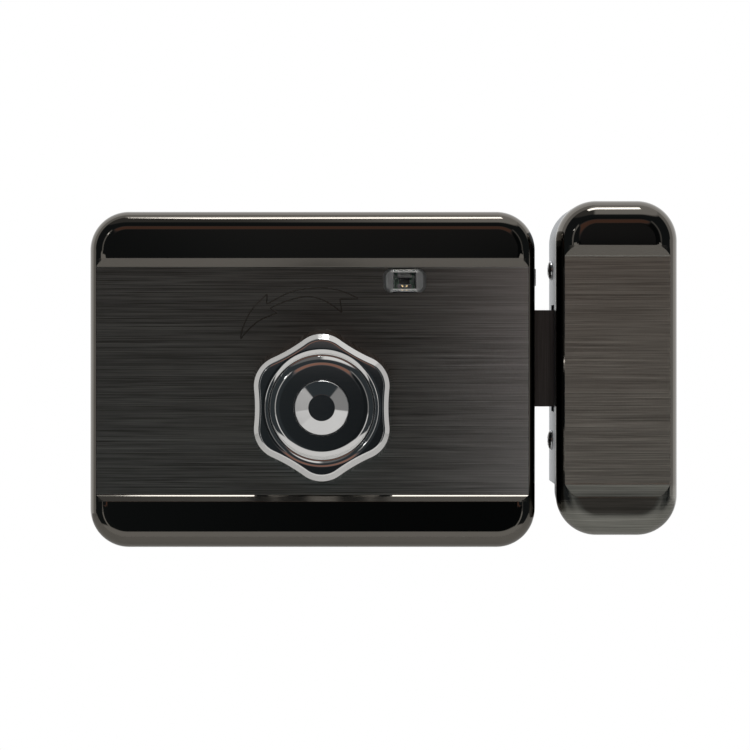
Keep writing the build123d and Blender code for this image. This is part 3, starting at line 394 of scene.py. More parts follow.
class Nodes:
    """Short way to write a node tree."""

    def __init__(self, tree: bpy.types.NodeTree) -> None:
        """Takes the tree that it writes in."""
        self.tree = tree

    def node(self, kind: str, **settings: object) -> bpy.types.Node:
        """Adds a node and sets its properties.

        Args:
            kind: Type of the node.
            settings: Its properties.

        Returns:
            The node.
        """
        added = self.tree.nodes.new(kind)
        for key, value in settings.items():
            setattr(added, key, value)
        return added

    def feed(self, target: Socket, value: Value | Colour) -> None:
        """Links a socket to another one, or sets its own value.

        Args:
            target: An input of a node.
            value: A socket, a number, a vector or a colour.
        """
        if isinstance(value, Socket):
            self.tree.links.new(value, target)
        elif target.type == "RGBA":
            target.default_value = (*value, 1.0)
        else:
            target.default_value = value

    def result(self, kind: str, output: str, inputs: dict[str, Value | Point3],
               **settings: object) -> Socket:
        """Adds a node and feeds it.

        Args:
            kind: Type of the node.
            output: Name of the output that is wanted.
            inputs: What its sockets get, by name.
            settings: Its properties.

        Returns:
            The output.
        """
        added = self.node(kind, **settings)
        for name, value in inputs.items():
            self.feed(added.inputs[name], value)
        return added.outputs[output]

    def math(self, operation: str, *values: Value) -> Socket:
        """One step of arithmetic.

        Args:
            operation: Name of the step.
            values: Its one or two values.

        Returns:
            Socket with the result.
        """
        step = self.node("ShaderNodeMath", operation=operation)
        for socket, value in zip(step.inputs, values):
            self.feed(socket, value)
        return step.outputs["Value"]

    def plus(self, first: Value, second: Value) -> Socket:
        """Sum of two values."""
        return self.math("ADD", first, second)

    def minus(self, first: Value, second: Value) -> Socket:
        """Difference of two values."""
        return self.math("SUBTRACT", first, second)

    def times(self, first: Value, *others: Value) -> Socket:
        """Product of values."""
        for other in others:
            first = self.math("MULTIPLY", first, other)
        return first

    def highest(self, first: Value, *others: Value) -> Socket:
        """Highest of some values."""
        for other in others:
            first = self.math("MAXIMUM", first, other)
        return first

    def between(self, value: Socket, low: float, high: float) -> Socket:
        """1 between two limits, 0 outside them."""
        return self.times(self.math("GREATER_THAN", value, low), self.math("LESS_THAN", value, high))

    def remap(self, value: Socket, source: Point2, target: Point2 = (0.0, 1.0), soft: bool = False) -> Socket:
        """Maps a value from one range to another, clamped.

        Args:
            value: Socket with the value.
            source: Range that it is read over.
            target: Range that comes out.
            soft: Whether the change eases in and out.

        Returns:
            Socket with the mapped value.
        """
        limits = dict(zip(("From Min", "From Max", "To Min", "To Max"), source + target))
        kind = "SMOOTHSTEP" if soft else "LINEAR"
        return self.result("ShaderNodeMapRange", "Result", limits | {"Value": value}, interpolation_type=kind)

    def axes(self, vector: Socket) -> list[Socket]:
        """The three parts of a vector."""
        split = self.node("ShaderNodeSeparateXYZ")
        self.feed(split.inputs["Vector"], vector)
        return [split.outputs[axis] for axis in "XYZ"]

    def vector(self, x: Value = 0.0, y: Value = 0.0, z: Value = 0.0) -> Socket:
        """Vector with three given parts."""
        return self.result("ShaderNodeCombineXYZ", "Vector", {"X": x, "Y": y, "Z": z})

    def blend(self, share: Socket, first: Socket | Colour, second: Socket | Colour) -> Socket:
        """Colour between two colours.

        Args:
            share: Share of the second colour.
            first: Colour at share 0.
            second: Colour at share 1.

        Returns:
            Socket with the colour.
        """
        mix = self.node("ShaderNodeMix", data_type="RGBA")
        self.feed(mix.inputs["Factor"], share)
        for socket, colour in zip([s for s in mix.inputs if s.type == "RGBA"], (first, second)):
            self.feed(socket, colour)
        return [s for s in mix.outputs if s.type == "RGBA"][0]


class Recipe(Nodes):
    """A material in the making."""

    def __init__(self, name: str) -> None:
        """Starts a material with one surface shader."""
        self.material = bpy.data.materials.new(name)
        self.material.use_nodes = True
        super().__init__(self.material.node_tree)
        self.surface = self.tree.nodes["Principled BSDF"]

    def place(self, scale: Point3 = (1, 1, 1)) -> Socket:
        """Object coordinates, stretched."""
        place = self.node("ShaderNodeTexCoord").outputs["Object"]
        return self.result("ShaderNodeMapping", "Vector", {"Vector": place, "Scale": scale})

    def noise(self, scale: Point3, detail: float = 3.0, rough: float = 0.55) -> Socket:
        """Noise on stretched Object coordinates, from 0 to 1.

        Args:
            scale: How often the noise changes, in each direction.
            detail: Layers of detail.
            rough: Weight of the finer layers.

        Returns:
            Socket with the noise.
        """
        inputs = {"Vector": self.place(scale), "Scale": 1.0, "Detail": detail, "Roughness": rough}
        return self.result("ShaderNodeTexNoise", "Fac", inputs)

    def streaks(self, drawn: Point3, short: Point3, detail: float) -> Socket:
        """Long streaks under short ones, from 0 to 1.

        Args:
            drawn: Scale of the long streaks.
            short: Scale of the short streaks.
            detail: Layers of the long streaks.

        Returns:
            Socket with the streaks.
        """
        weight = 0.6
        under = self.times(self.noise(drawn, detail, 0.7), weight)
        return self.plus(under, self.times(self.noise(short, 2, 0.6), 1 - weight))

    def bump(self, height: Socket, depth: float) -> None:
        """Tilts the surface by a height map, its full depth in metres."""
        tilt = self.result("ShaderNodeBump", "Normal", {"Height": height, "Distance": depth, "Strength": 1.0})
        self.dress(Normal=tilt)

    def dress(self, **values: Value) -> None:
        """Feeds the shader's own sockets, with _ for a space in a name."""
        for name, value in values.items():
            self.feed(self.surface.inputs[name.replace("_", " ")], value)


class GeometryTree(Nodes):
    """A Geometry Nodes tree with named sizes that is turned into plain mesh."""

    def __init__(self, name: str, sizes: dict[str, float]) -> None:
        """Starts a tree.

        Args:
            name: Name of the node group.
            sizes: Its sizes by input name.
        """
        super().__init__(bpy.data.node_groups.new(name, "GeometryNodeTree"))
        self.sizes = sizes
        sockets = self.tree.interface
        sockets.new_socket("Geometry", in_out="INPUT", socket_type="NodeSocketGeometry")
        for label, value in sizes.items():
            sockets.new_socket(label, in_out="INPUT", socket_type="NodeSocketFloat").default_value = value
        sockets.new_socket("Material", in_out="INPUT", socket_type="NodeSocketMaterial")
        sockets.new_socket("Geometry", in_out="OUTPUT", socket_type="NodeSocketGeometry")
        self.start = self.node("NodeGroupInput")

    def size(self, label: str) -> Socket:
        """One of the named inputs."""
        return self.start.outputs[label]

    def close(self, geometry: Socket) -> None:
        """Ends the tree: instances made real, material set."""
        real = self.result("GeometryNodeRealizeInstances", "Geometry", {"Geometry": geometry})
        dressed = self.result("GeometryNodeSetMaterial", "Geometry",
                              {"Geometry": real, "Material": self.size("Material")})
        self.feed(self.node("NodeGroupOutput").inputs["Geometry"], dressed)

    def run(self, piece: Piece, finish: "Finish") -> Piece:
        """Runs the tree on a piece and keeps its result as plain mesh.

        Args:
            piece: Object whose mesh goes in.
            finish: Surface of the result.

        Returns:
            The piece.
        """
        step = piece.modifiers.new(self.tree.name, "NODES")
        step.node_group = self.tree
        for socket in self.tree.interface.items_tree:
            if socket.name in self.sizes:
                step[socket.identifier] = float(self.sizes[socket.name])
            elif socket.name == "Material":
                step[socket.identifier] = finish.material()
        return settle(piece)


# Kinds of finish


def shaded(colour: Colour, factor: float, limit: float = math.inf) -> Colour:
    """Colour times a factor, each part at most the limit."""
    return tuple(min(limit, part * factor) for part in colour)


class Finish:
    """A surface that makes its material once."""

    name: str

    def build(self, recipe: Recipe) -> None:
        """Fills in the recipe's nodes."""
        raise NotImplementedError

    def material(self) -> bpy.types.Material:
        """The finish's material, made at the first call.

        Returns:
            The material.
        """
        label = f"look_{self.name}"
        ready = bpy.data.materials.get(label)
        if ready:
            return ready
        recipe = Recipe(label)
        self.build(recipe)
        return recipe.material


@dataclass(frozen=True)
class Polished(Finish):
    """Bright metal with faint haze and hairlines."""

    name: str
    colour: Colour
    roughness: float
    haze: float

    def build(self, recipe: Recipe) -> None:
        """Metal whose gloss varies a little over the surface.

        Args:
            recipe: The material in the making.
        """
        cloud = recipe.noise((90, 90, 90), 4)
        hairlines = recipe.times(cloud, recipe.noise((60, 900, 2600), 2))
        dull = shaded(self.colour, 0.93)
        gloss = (self.roughness, self.roughness + self.haze)
        recipe.dress(Metallic=1.0, Roughness=recipe.remap(hairlines, (0.1, 0.5), gloss),
                     Base_Color=recipe.blend(cloud, self.colour, dull))


@dataclass(frozen=True)
class Brushed(Finish):
    """Metal with a straight grain."""

    name: str
    colour: Colour
    roughness: float
    contrast: float
    run: Run
    depth: float = 0.000006

    def stretch(self, along: float, across: float) -> Point3:
        """Scale that draws noise out along the grain."""
        return tuple(along if run is self.run else across for run in Run)

    def build(self, recipe: Recipe) -> None:
        """Long and short streaks that change colour, gloss and height.

        Args:
            recipe: The material in the making.
        """
        streaks = recipe.streaks(self.stretch(16, 1300), self.stretch(70, 4200), 4)
        dark = shaded(self.colour, 1 - self.contrast)
        light = shaded(self.colour, 1 + self.contrast, 1.0)
        gloss = (self.roughness * 0.8, self.roughness * 1.2)
        recipe.dress(Metallic=1.0, Roughness=recipe.remap(streaks, USUAL_NOISE, gloss),
                     Base_Color=recipe.blend(recipe.remap(streaks, (0.32, 0.68)), dark, light))
        recipe.bump(streaks, self.depth)


@dataclass(frozen=True)
class Panel:
    """Heights of the sunk panel on a cover and of the steps that lead down to it, in millimetres."""

    low: float
    high: float
    step_below: float
    step_above: float


@dataclass(frozen=True)
class PanelledNickel(Finish):
    """Black nickel that is mirror bright, but brushed along the sunk panel.

    A slope is a pair of limits of a normal's y part, which is -1 where a face lies flat to the front.
    """

    name: str
    panel: Panel
    brushed: Colour = (0.232, 0.25, 0.24)
    contrast: float = 0.66
    # Painted reflection: how much paler the brushed metal turns towards the panel's right end, and the span
    # over which it pales.
    sheen_gain: float = 3.6
    sheen_span: Point2 = (10.0, 64.0)
    sheen_contrast: float = 0.7
    slope: Point2 = (-0.995, -0.985)
    satin_foot: bool = False
    # Painted shade below the panel: share of the grain's colour that is kept, and the height over which it
    # darkens.
    foot_shade: Point2 = (0.5, 0.7)
    foot_shade_span: float = 1.0
    foot_fade: float = 7.0
    foot_slope: Point2 = (-0.55, -0.20)
    step_slope: Point2 = (-0.90, -0.80)
    mirror: Colour = (0.178, 0.166, 0.148)
    mirror_roughness: float = 0.05
    step_roughness: float = 0.32
    brushed_roughness: float = 0.34
    depth: float = 0.000012

    def foot(self, recipe: Recipe, height: Socket, look: Socket, level: Socket) -> Socket:
        """Share of the satin foot, which is below the panel and fades out round the cover's edge.

        Args:
            recipe: The material.
            height: Height on the part, in metres.
            look: The y part of the face's normal.
            level: 1 where the face lies about flat to the front.

        Returns:
            Socket with the share.
        """
        low = self.panel.low * MM
        fading = recipe.remap(height, (low - self.foot_fade * MM, low), (1, 0))
        flat = recipe.times(recipe.math("LESS_THAN", height, low), level)
        return recipe.times(recipe.highest(flat, fading), recipe.remap(look, self.foot_slope, (1, 0)))

    def painted_foot_shade(self, recipe: Recipe, height: Socket, grain: Socket) -> Socket:
        """The grain's colour with painted shade, darker below the panel.

        Args:
            recipe: The material.
            height: Height on the part, in metres.
            grain: Colour of the grain.

        Returns:
            Socket with the colour.
        """
        low = self.panel.low * MM
        span = (low - (self.panel.step_below + self.foot_shade_span) * MM, low)
        # painted shade: the grain darkens from the step below the panel down to the foot
        shade = recipe.remap(height, span, self.foot_shade)
        shade = recipe.highest(shade, recipe.math("GREATER_THAN", height, low))
        return recipe.blend(shade, (0.0, 0.0, 0.0), grain)

    def grain(self, recipe: Recipe, across: Socket, streaks: Socket) -> Socket:
        """Colour of the brushed metal, which turns paler towards the right: a painted reflection of the
        brighter light that the panel's right end catches.

        Args:
            recipe: The material.
            across: Place from left to right, in metres.
            streaks: The grain's streaks.

        Returns:
            Socket with the colour.
        """
        share = recipe.remap(streaks, (0.34, 0.66))
        # painted reflection: the brushed colour pales towards the right end, where the panel reflects more
        # light
        tone = recipe.remap(across, tuple(edge * MM for edge in self.sheen_span))
        dark, light = (shaded(self.brushed, 1 + swing) for swing in (-self.contrast, self.contrast))
        pale = shaded(self.brushed, 1 + self.sheen_gain)
        swing = self.contrast * self.sheen_contrast
        pale_dark, pale_light = shaded(pale, 1 - swing), shaded(pale, 1 + swing, 1.0)
        plain = recipe.blend(share, dark, light)
        return recipe.blend(recipe.times(tone, tone), plain, recipe.blend(share, pale_dark, pale_light))

    def build(self, recipe: Recipe) -> None:
        """Two surfaces, divided by height on the part and by the way the face looks.

        Args:
            recipe: The material in the making.
        """
        low, high = self.panel.low * MM, self.panel.high * MM
        across, _, height = recipe.axes(recipe.place())
        _, look, _ = recipe.axes(recipe.node("ShaderNodeNewGeometry").outputs["Normal"])
        level = recipe.remap(look, self.step_slope, (1, 0))
        satin = recipe.times(recipe.between(height, low, high), recipe.remap(look, self.slope, (1, 0)))
        streaks = recipe.streaks((16, 10, 3900), (60, 10, 7000), 3)
        grain = self.grain(recipe, across, streaks)
        if self.satin_foot:
            satin = recipe.highest(satin, self.foot(recipe, height, look, level))
            grain = self.painted_foot_shade(recipe, height, grain)
        near = recipe.between(height, low - self.panel.step_below * MM, high + self.panel.step_above * MM)
        step = recipe.times(near, level, self.step_roughness - self.mirror_roughness)
        cloud = recipe.noise((14, 14, 30), 3)
        gloss = recipe.remap(cloud, USUAL_NOISE, (self.mirror_roughness, self.mirror_roughness + 0.03))
        dullness = (self.brushed_roughness * 0.82, self.brushed_roughness * 1.15)
        matt = recipe.remap(streaks, USUAL_NOISE, dullness)
        polish = recipe.blend(cloud, self.mirror, shaded(self.mirror, 0.9))
        bright = recipe.times(recipe.minus(1.0, satin), recipe.plus(gloss, step))
        recipe.dress(Metallic=1.0, Base_Color=recipe.blend(satin, polish, grain),
                     Roughness=recipe.plus(recipe.times(satin, matt), bright))
        recipe.bump(recipe.times(streaks, satin), self.depth)


@dataclass(frozen=True)
class Moulded(Finish):
    """Plastic or rubber with a fine moulded grain."""

    name: str
    colour: Colour
    roughness: float
    grain: float = 0.00001
    coat: float = 0.0

    def build(self, recipe: Recipe) -> None:
        """Slight clouds of colour over a fine grain.

        Args:
            recipe: The material in the making.
        """
        cloud = recipe.noise((160, 160, 160), 3)
        fine = recipe.noise((3500, 3500, 3500), 2)
        shade = shaded(self.colour, 0.82)
        gloss = (self.roughness - 0.06, self.roughness + 0.06)
        recipe.dress(Metallic=0.0, Coat_Weight=self.coat, Coat_Roughness=0.15,
                     Base_Color=recipe.blend(cloud, self.colour, shade),
                     Roughness=recipe.remap(fine, USUAL_NOISE, gloss))
        recipe.bump(fine, self.grain)


@dataclass(frozen=True)
class ClearPlastic(Finish):
    """Clear moulded plastic with frosted ends."""

    name: str
    middle: float
    colour: Colour = (0.93, 0.94, 0.93)
    frosted: float = 0.3
    clear_half: float = 3.3
    edge: float = 0.3

    def build(self, recipe: Recipe) -> None:
        """Clear middle between frosted ends, with faint flow marks.

        Args:
            recipe: The material in the making.
        """
        flow = recipe.noise((420, 420, 260), 2)
        across = recipe.axes(recipe.place())[0]
        off = recipe.math("ABSOLUTE", recipe.minus(across, self.middle * MM))
        frost = recipe.remap(off, (self.clear_half * MM, (self.clear_half + self.edge) * MM))
        recipe.dress(IOR=1.58, Metallic=0.0, Specular_IOR_Level=0.8,
                     Roughness=recipe.remap(frost, (0, 1), (0.0, self.frosted)),
                     Transmission_Weight=recipe.remap(frost, (0, 1), (1.0, 0.96)),
                     Base_Color=recipe.blend(flow, self.colour, shaded(self.colour, 0.93)))


@dataclass(frozen=True)
class SolderMask(Finish):
    """Circuit board with copper tracks under its lacquer."""

    name: str
    colour: Colour
    track: Colour

    def build(self, recipe: Recipe) -> None:
        """Straight tracks along the edges of square cells.

        Args:
            recipe: The material in the making.
        """
        cells = recipe.result("ShaderNodeTexVoronoi", "Distance",
                              {"Vector": recipe.place((420, 0, 260)), "Scale": 1.0}, distance="CHEBYCHEV")
        lines = recipe.remap(cells, (0.36, 0.4))
        recipe.dress(Metallic=0.0, Coat_Weight=0.6, Coat_Roughness=0.12, Roughness=0.4,
                     Base_Color=recipe.blend(lines, self.colour, self.track))
        recipe.bump(lines, 0.00003)


# Finishes of this lock

WINDOW = Extent.of("indicator_window")
CASE_PANEL = Panel(low=-26.3, high=41.5, step_below=1.9, step_above=2.5)
KEEPER_PANEL = Panel(low=-23.1, high=44.8, step_below=3.8, step_above=3.1)

CHROME = Polished("knob_chrome", (0.86, 0.855, 0.845), roughness=0.045, haze=0.03)
BUTTON_CHROME = Polished("button_chrome", (0.88, 0.88, 0.88), roughness=0.05, haze=0.05)
CASE_NICKEL = PanelledNickel("case_black_nickel", CASE_PANEL)
KEEPER_NICKEL = PanelledNickel("keeper_black_nickel", KEEPER_PANEL, brushed=(0.665, 0.66, 0.59),
                               contrast=0.58, sheen_gain=0.0, slope=(-0.96, -0.90), satin_foot=True,
                               foot_shade=(0.36, 0.7))
# Painted shade: the bolt's steel gets a dark colour for the shadow it lies in between the case and the
# keeper.
BOLT_STEEL = Brushed("bolt_steel_painted_shade", (0.16, 0.155, 0.15), roughness=0.38, contrast=0.3, run=Run.ALONG_Z)
ZINC = Brushed("zinc_plated_steel", (0.40, 0.44, 0.49), roughness=0.34, contrast=0.12, run=Run.ALONG_Z)
FLANGE_ZINC = Brushed("dull_zinc_plate", (0.17, 0.19, 0.21), roughness=0.34, contrast=0.12, run=Run.ALONG_Z)
SCREW_STEEL = Polished("screw_steel", (0.62, 0.63, 0.65), roughness=0.2, haze=0.12)
MACHINED = Brushed("machined_steel", (0.56, 0.56, 0.57), roughness=0.3, contrast=0.15, run=Run.INTO_DOOR)
BLACKENED = Brushed("blackened_steel", (0.09, 0.088, 0.085), roughness=0.35, contrast=0.3, run=Run.ALONG_X)
BRASS = Brushed("turned_brass", (0.78, 0.6, 0.3), roughness=0.28, contrast=0.15, run=Run.INTO_DOOR)
MAGNET = Polished("nickel_plated_magnet", (0.7, 0.69, 0.66), roughness=0.15, haze=0.1)
ALUMINIUM = Brushed("drawn_aluminium", (0.75, 0.76, 0.78), roughness=0.3, contrast=0.1, run=Run.INTO_DOOR)
BLACK_PLASTIC = Moulded("black_plastic", (0.018, 0.018, 0.019), roughness=0.4)
DULL_BLACK = Moulded("dull_black_plastic", (0.006, 0.006, 0.006), roughness=0.85)
GREY_PLASTIC = Moulded("grey_plastic", (0.2, 0.21, 0.22), roughness=0.5)
GREEN_PLASTIC = Moulded("green_plastic", (0.04, 0.26, 0.09), roughness=0.35, coat=0.3)
WHITE_PLASTIC = Moulded("white_plastic", (0.8, 0.8, 0.77), roughness=0.4)
ACETAL = Moulded("natural_acetal", (0.78, 0.76, 0.7), roughness=0.38)
RUBBER = Moulded("black_rubber", (0.02, 0.02, 0.02), roughness=0.7, grain=0.00003)
LAMP_RESIN = Moulded("lamp_resin", (0.16, 0.16, 0.155), roughness=0.25, coat=0.5)
GOLD = Polished("gold_pad", (0.9, 0.7, 0.38), roughness=0.15, haze=0.1)
CLEAR = ClearPlastic("clear_plastic", WINDOW.middle()[0])
BOARD = SolderMask("board_lacquer", (0.012, 0.09, 0.035), track=(0.03, 0.17, 0.06))

NODE_FINISHES: dict[Finish, tuple[str, ...]] = {
    CHROME: ("knob",),
    BUTTON_CHROME: ("push_button",),
    CASE_NICKEL: ("front_cover",),
    KEEPER_NICKEL: ("keeper_cover",),
    BOLT_STEEL: ("deadbolt",),
    ZINC: ("back_plate", "door_bolt_bosses", "bridge_plate"),
    FLANGE_ZINC: ("keeper_bracket",),
    SCREW_STEEL: ("plate_screws", "board_screws", "bridge_screws", "keeper_screws"),
    MACHINED: ("cover_posts", "bridge_posts", "gearbox_posts", "rack_gear", "bolt_rack", "spindle",
               "output_shaft", "idler_axle", "button_rod", "cross_pin", "button_spring", "motor"),
    BLACKENED: ("idler_clip", "spindle_clip", "knob_grub_screw", "rack_screws"),
    BRASS: ("knob_bush", "switch_collar", "motor_pinion", "board_standoffs"),
    MAGNET: ("bolt_magnet", "keeper_magnet"),
    ALUMINIUM: ("capacitor",),
    BLACK_PLASTIC: ("button_switch", "buzzer", "controller_chip", "bolt_sensor", "light_shade",
                    "keeper_blocks", "status_light"),
    DULL_BLACK: ("door_sensor",),
    GREY_PLASTIC: ("gearbox",),
    GREEN_PLASTIC: ("terminal_block",),
    WHITE_PLASTIC: ("switch_plunger", "motor_socket"),
    ACETAL: ("drive_gear", "idler_gear", "rack_rail", "bolt_guide"),
    RUBBER: ("cable_grommet",),
    CLEAR: ("indicator_window",),
    BOARD: ("control_board",),
}


def dress_nodes() -> None:
    """Gives every CAD node its finish."""
    for finish, names in NODE_FINISHES.items():
        for name in names:
            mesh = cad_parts[name].data
            mesh.materials.clear()
            mesh.materials.append(finish.material())
    log.info("%d nodes dressed", sum(len(names) for names in NODE_FINISHES.values()))


# Sub-assemblies


@dataclass
class CoverShell:
    """Stamped sheet cover with soft edges and a sunk panel across its front.

    Sizes are in millimetres. The waist is the bend in the panel's lower step, and its two values are shares
    of the panel's depth and of the step's height.
    """

    node: str
    panel: Panel
    corner: float
    sink: float
    soft: float
    waist_rise: float = 0.32
    waist_run: float = 0.215
    lower_creases: Point3 = (0.25, 0.6, 0.2)
    upper_creases: Point2 = (0.9, 0.9)
    wall: float = 1.5
    straight: float = 3.0
    over_cut: float = 2.0
    past_sides: float = 5.0
    crease_steps: int = 6
    corner_steps: int = 28
    soft_steps: int = 20
    edges: Extent = field(init=False)

    def __post_init__(self) -> None:
        """Reads the cover's edges from the frame."""
        self.edges = Extent.of(self.node)

    def trench(self, inset: float) -> list[Point2]:
        """Outline of the cut for the panel, with rounded creases, as (depth, z) points.

        Args:
            inset: Distance by which the whole form lies further in.

        Returns:
            The outline's points.
        """
        top = self.edges.front - inset
        floor = top - self.sink
        low, high = self.panel.low, self.panel.high
        below, above = low - self.panel.step_below, high + self.panel.step_above
        waist = (floor + self.sink * self.waist_rise, low - self.panel.step_below * self.waist_run)
        run = self.straight
        lower = eased([(top, below - run), (top, below), waist, (floor, low), (floor, low + run)],
                      self.lower_creases, self.crease_steps)
        upper = eased([(floor, high - run), (floor, high), (top, above), (top, above + run)],
                      self.upper_creases, self.crease_steps)
        over = top + self.over_cut
        return [(over, lower[1][1]), *lower[1:], *upper[:-1], (over, upper[-2][1])]

    def form(self, name: str, inset: float) -> Piece:
        """Solid of the cover's outside, or of the room in it, which reaches past the cover's rear.

        Args:
            name: Name of the piece.
            inset: Distance inside the outer surface.

        Returns:
            The solid.
        """
        edges, soft = self.edges, self.soft - inset
        rim = edges.front - inset - soft
        levels = [(rim + depth, soft - across) for across, depth in arc((0, 0), soft, 0, 90, self.soft_steps)]
        rings = []
        for depth, draw_in in [(-1.0 if inset else 0.0, 0.0), *levels]:
            gap = inset + draw_in
            outline = round_outline(edges.left + gap, edges.right - gap, edges.low + gap, edges.high - gap,
                                    self.corner - gap, self.corner_steps)
            rings.append([room(x, z, depth) for x, z in outline])
        start, end = edges.left - self.past_sides, edges.right + self.past_sides
        return cut_out(rings_solid(name, rings), [prism("cut", self.trench(inset), Run.ALONG_X, start, end)])

    def shell(self, name: str, cuts: list[Piece], grooves: list[Piece]) -> Piece:
        """The finished sheet cover.

        Args:
            name: Name of the piece.
            cuts: Solids of its holes.
            grooves: Swept solids of its grooves.

        Returns:
            The piece, in millimetres.
        """
        cover = cut_out(self.form(name, 0.0), [self.form("room_in_cover", self.wall), *cuts])
        if grooves:
            cut_out(cover, grooves, crossing=True)
        return smooth(cover, 32)


@dataclass
class Case:
    """The lock's case: cover, turn arrow and indicator.

    Sizes are in millimetres and depths count from the door. What is behind the window is placed from the
    window's middle, and the lips and pads rise from the control board.
    """

    cover: CoverShell = field(default_factory=lambda: CoverShell(
        "front_cover", CASE_PANEL, corner=11.5, sink=1.2, soft=5.5))
    bush_radius: float = 7.0
    front_cut: Point2 = (30.0, 45.0)
    side_cut: float = 4.0
    bolt_gap: float = 0.25
    sensor_flange: float = 1.5
    gap: float = 0.15
    window_corner: float = 2.3
    lens_flange: float = 1.2
    lens_profile: tuple[Point2, ...] = ((1.2, 34.1), (1.2, 35.3), (0.0, 35.3), (0.0, 36.8), (-0.08, 36.92),
                                        (-0.68, 37.46), (-0.8, 37.5))
    lens_hollow: tuple[float, float, float, float] = (4.4, 3.0, 33.0, 36.0)
    # painted highlight: chrome strips in the lens hollow that stand for the lens's bright edges
    highlight_strips: dict[str, Point2] = field(default_factory=lambda: {
        "reflector_upper": (2.45, 3.0), "reflector_lower": (-3.0, -2.45)})
    highlight_strip_depths: Point3 = (35.9, 35.58, 35.0)
    highlight_strip_half: float = 4.0
    lips: dict[str, Point2] = field(default_factory=lambda: {
        "lamp_lip_upper": (0.9, 2.3), "lamp_lip_lower": (-2.2, -1.0)})
    lip_half: float = 2.1
    lip_wall: float = 0.3
    lip_corners: Point2 = (0.4, 0.25)
    lip_rise: tuple[float, float, float, float] = (1.5, 6.3, 6.9, 8.0)
    pad_outline: tuple[Point2, ...] = ((0.2, -2.0), (0.75, -2.0), (1.05, -1.2), (0.75, -1.0))
    pad_rise: Point2 = (6.35, 6.75)
    groove_depth: float = 0.18
    groove_width: float = 0.46
    groove_corner: float = 0.15
    x: float = field(init=False)
    z: float = field(init=False)
    half_x: float = field(init=False)
    half_z: float = field(init=False)

    def __post_init__(self) -> None:
        """Finds the middle and half the size of the window's opening."""
        self.x, self.z = WINDOW.middle()
        self.half_x = (WINDOW.right - WINDOW.left) / 2 - self.lens_flange
        self.half_z = (WINDOW.high - WINDOW.low) / 2 - self.lens_flange

    def opening(self, grow: float, steps: int) -> list[Point2]:
        """Outline of the window's opening, grown by a distance.

        Args:
            grow: Distance by which the outline lies further out.
            steps: Chords per corner.

        Returns:
            The outline's points.
        """
        half_x, half_z = self.half_x + grow, self.half_z + grow
        return round_outline(self.x - half_x, self.x + half_x, self.z - half_z, self.z + half_z,
                             self.window_corner + grow, steps)

    def build_cover(self) -> None:
        """Cover with its holes for bush, window, bolt and sensor."""
        cuts = [
            prism("bush_hole", arc((0, 0), self.bush_radius, 0, 358, 179), Run.INTO_DOOR, *self.front_cut),
            prism("window_hole", self.opening(self.gap, 10), Run.INTO_DOOR, *self.front_cut),
        ]
        side = self.cover.edges.right
        for node, grow in (("deadbolt", self.bolt_gap), ("door_sensor", self.gap - self.sensor_flange)):
            slot = Extent.of(node).slot(grow)
            cuts.append(prism("side_hole", slot, Run.ALONG_X, side - self.side_cut, side + self.side_cut))
        cover = self.cover.shell("case_cover", cuts, [self.arrow_cutter()])
        hand_over(cover, "lock_case", CASE_NICKEL, ("front_cover",))

    def arrow_outline(self) -> list[Point2]:
        """Outline of the turn arrow on the panel: a curved tail and a barbed head.

        Returns:
            Its points, once round.
        """
        sides = [
            [(-24.4, 19.9), (-23.6, 23.6), (-20.9, 28.9), (-16.4, 33.5)],
            [(-16.4, 33.5), (-16.6, 30.4)],
            [(-16.6, 30.4), (-9.2, 34.1), (-1.2, 35.3), (5.2, 34.4), (11.0, 32.0)],
            [(11.0, 32.0), (5.2, 31.9)],
            [(5.2, 31.9), (5.8, 27.8)],
            [(5.8, 27.8), (2.6, 30.3), (-1.2, 32.1), (-5.5, 32.6), (-10.8, 31.3), (-15.6, 29.2)],
            [(-15.6, 29.2), (-13.4, 27.9)],
            [(-13.4, 27.9), (-18.8, 25.5), (-22.5, 22.3), (-24.4, 19.9)],
        ]
        return [point for side in sides for point in flowing(side)[:-1]]

    def groove_tree(self) -> GeometryTree:
        """Tree that draws a flat bead along an outline.

        Returns:
            The tree, which takes the outline as loose edges.
        """
        tree = GeometryTree("bead_along_outline", {
            "Bead Width": self.groove_width, "Bead Height": self.groove_depth,
            "Corner Fillet": self.groove_corner})
        width = tree.size("Bead Width")
        curve = tree.result("GeometryNodeMeshToCurve", "Curve", {"Mesh": tree.start.outputs["Geometry"]})
        even = tree.result("GeometryNodeFilletCurve", "Curve", {
            "Curve": curve, "Count": 2, "Radius": tree.size("Corner Fillet"), "Limit Radius": True},
            mode="POLY")
        ring = tree.result("GeometryNodeCurvePrimitiveCircle", "Curve",
                           {"Resolution": 10, "Radius": tree.times(width, 0.5)})
        flat = tree.math("DIVIDE", tree.times(tree.size("Bead Height"), 2.0), width)
        bead = tree.result("GeometryNodeTransform", "Geometry",
                           {"Geometry": ring, "Scale": tree.vector(1.0, flat, 1.0)})
        tree.close(tree.result("GeometryNodeCurveToMesh", "Mesh", {"Curve": even, "Profile Curve": bead}))
        return tree

    def arrow_cutter(self) -> Piece:
        """Flat bead along the arrow's outline, which cuts the arrow's fine groove into the panel.

        Returns:
            The bead, as one closed solid.
        """
        floor = self.cover.edges.front - self.cover.sink
        outline = self.arrow_outline()
        edges = tuple((i, (i + 1) % len(outline)) for i in range(len(outline)))
        arrow = new_piece("turn_arrow", [room(x, z, floor) for x, z in outline], [], edges)
        return turn_outwards(self.groove_tree().run(arrow, CASE_NICKEL))

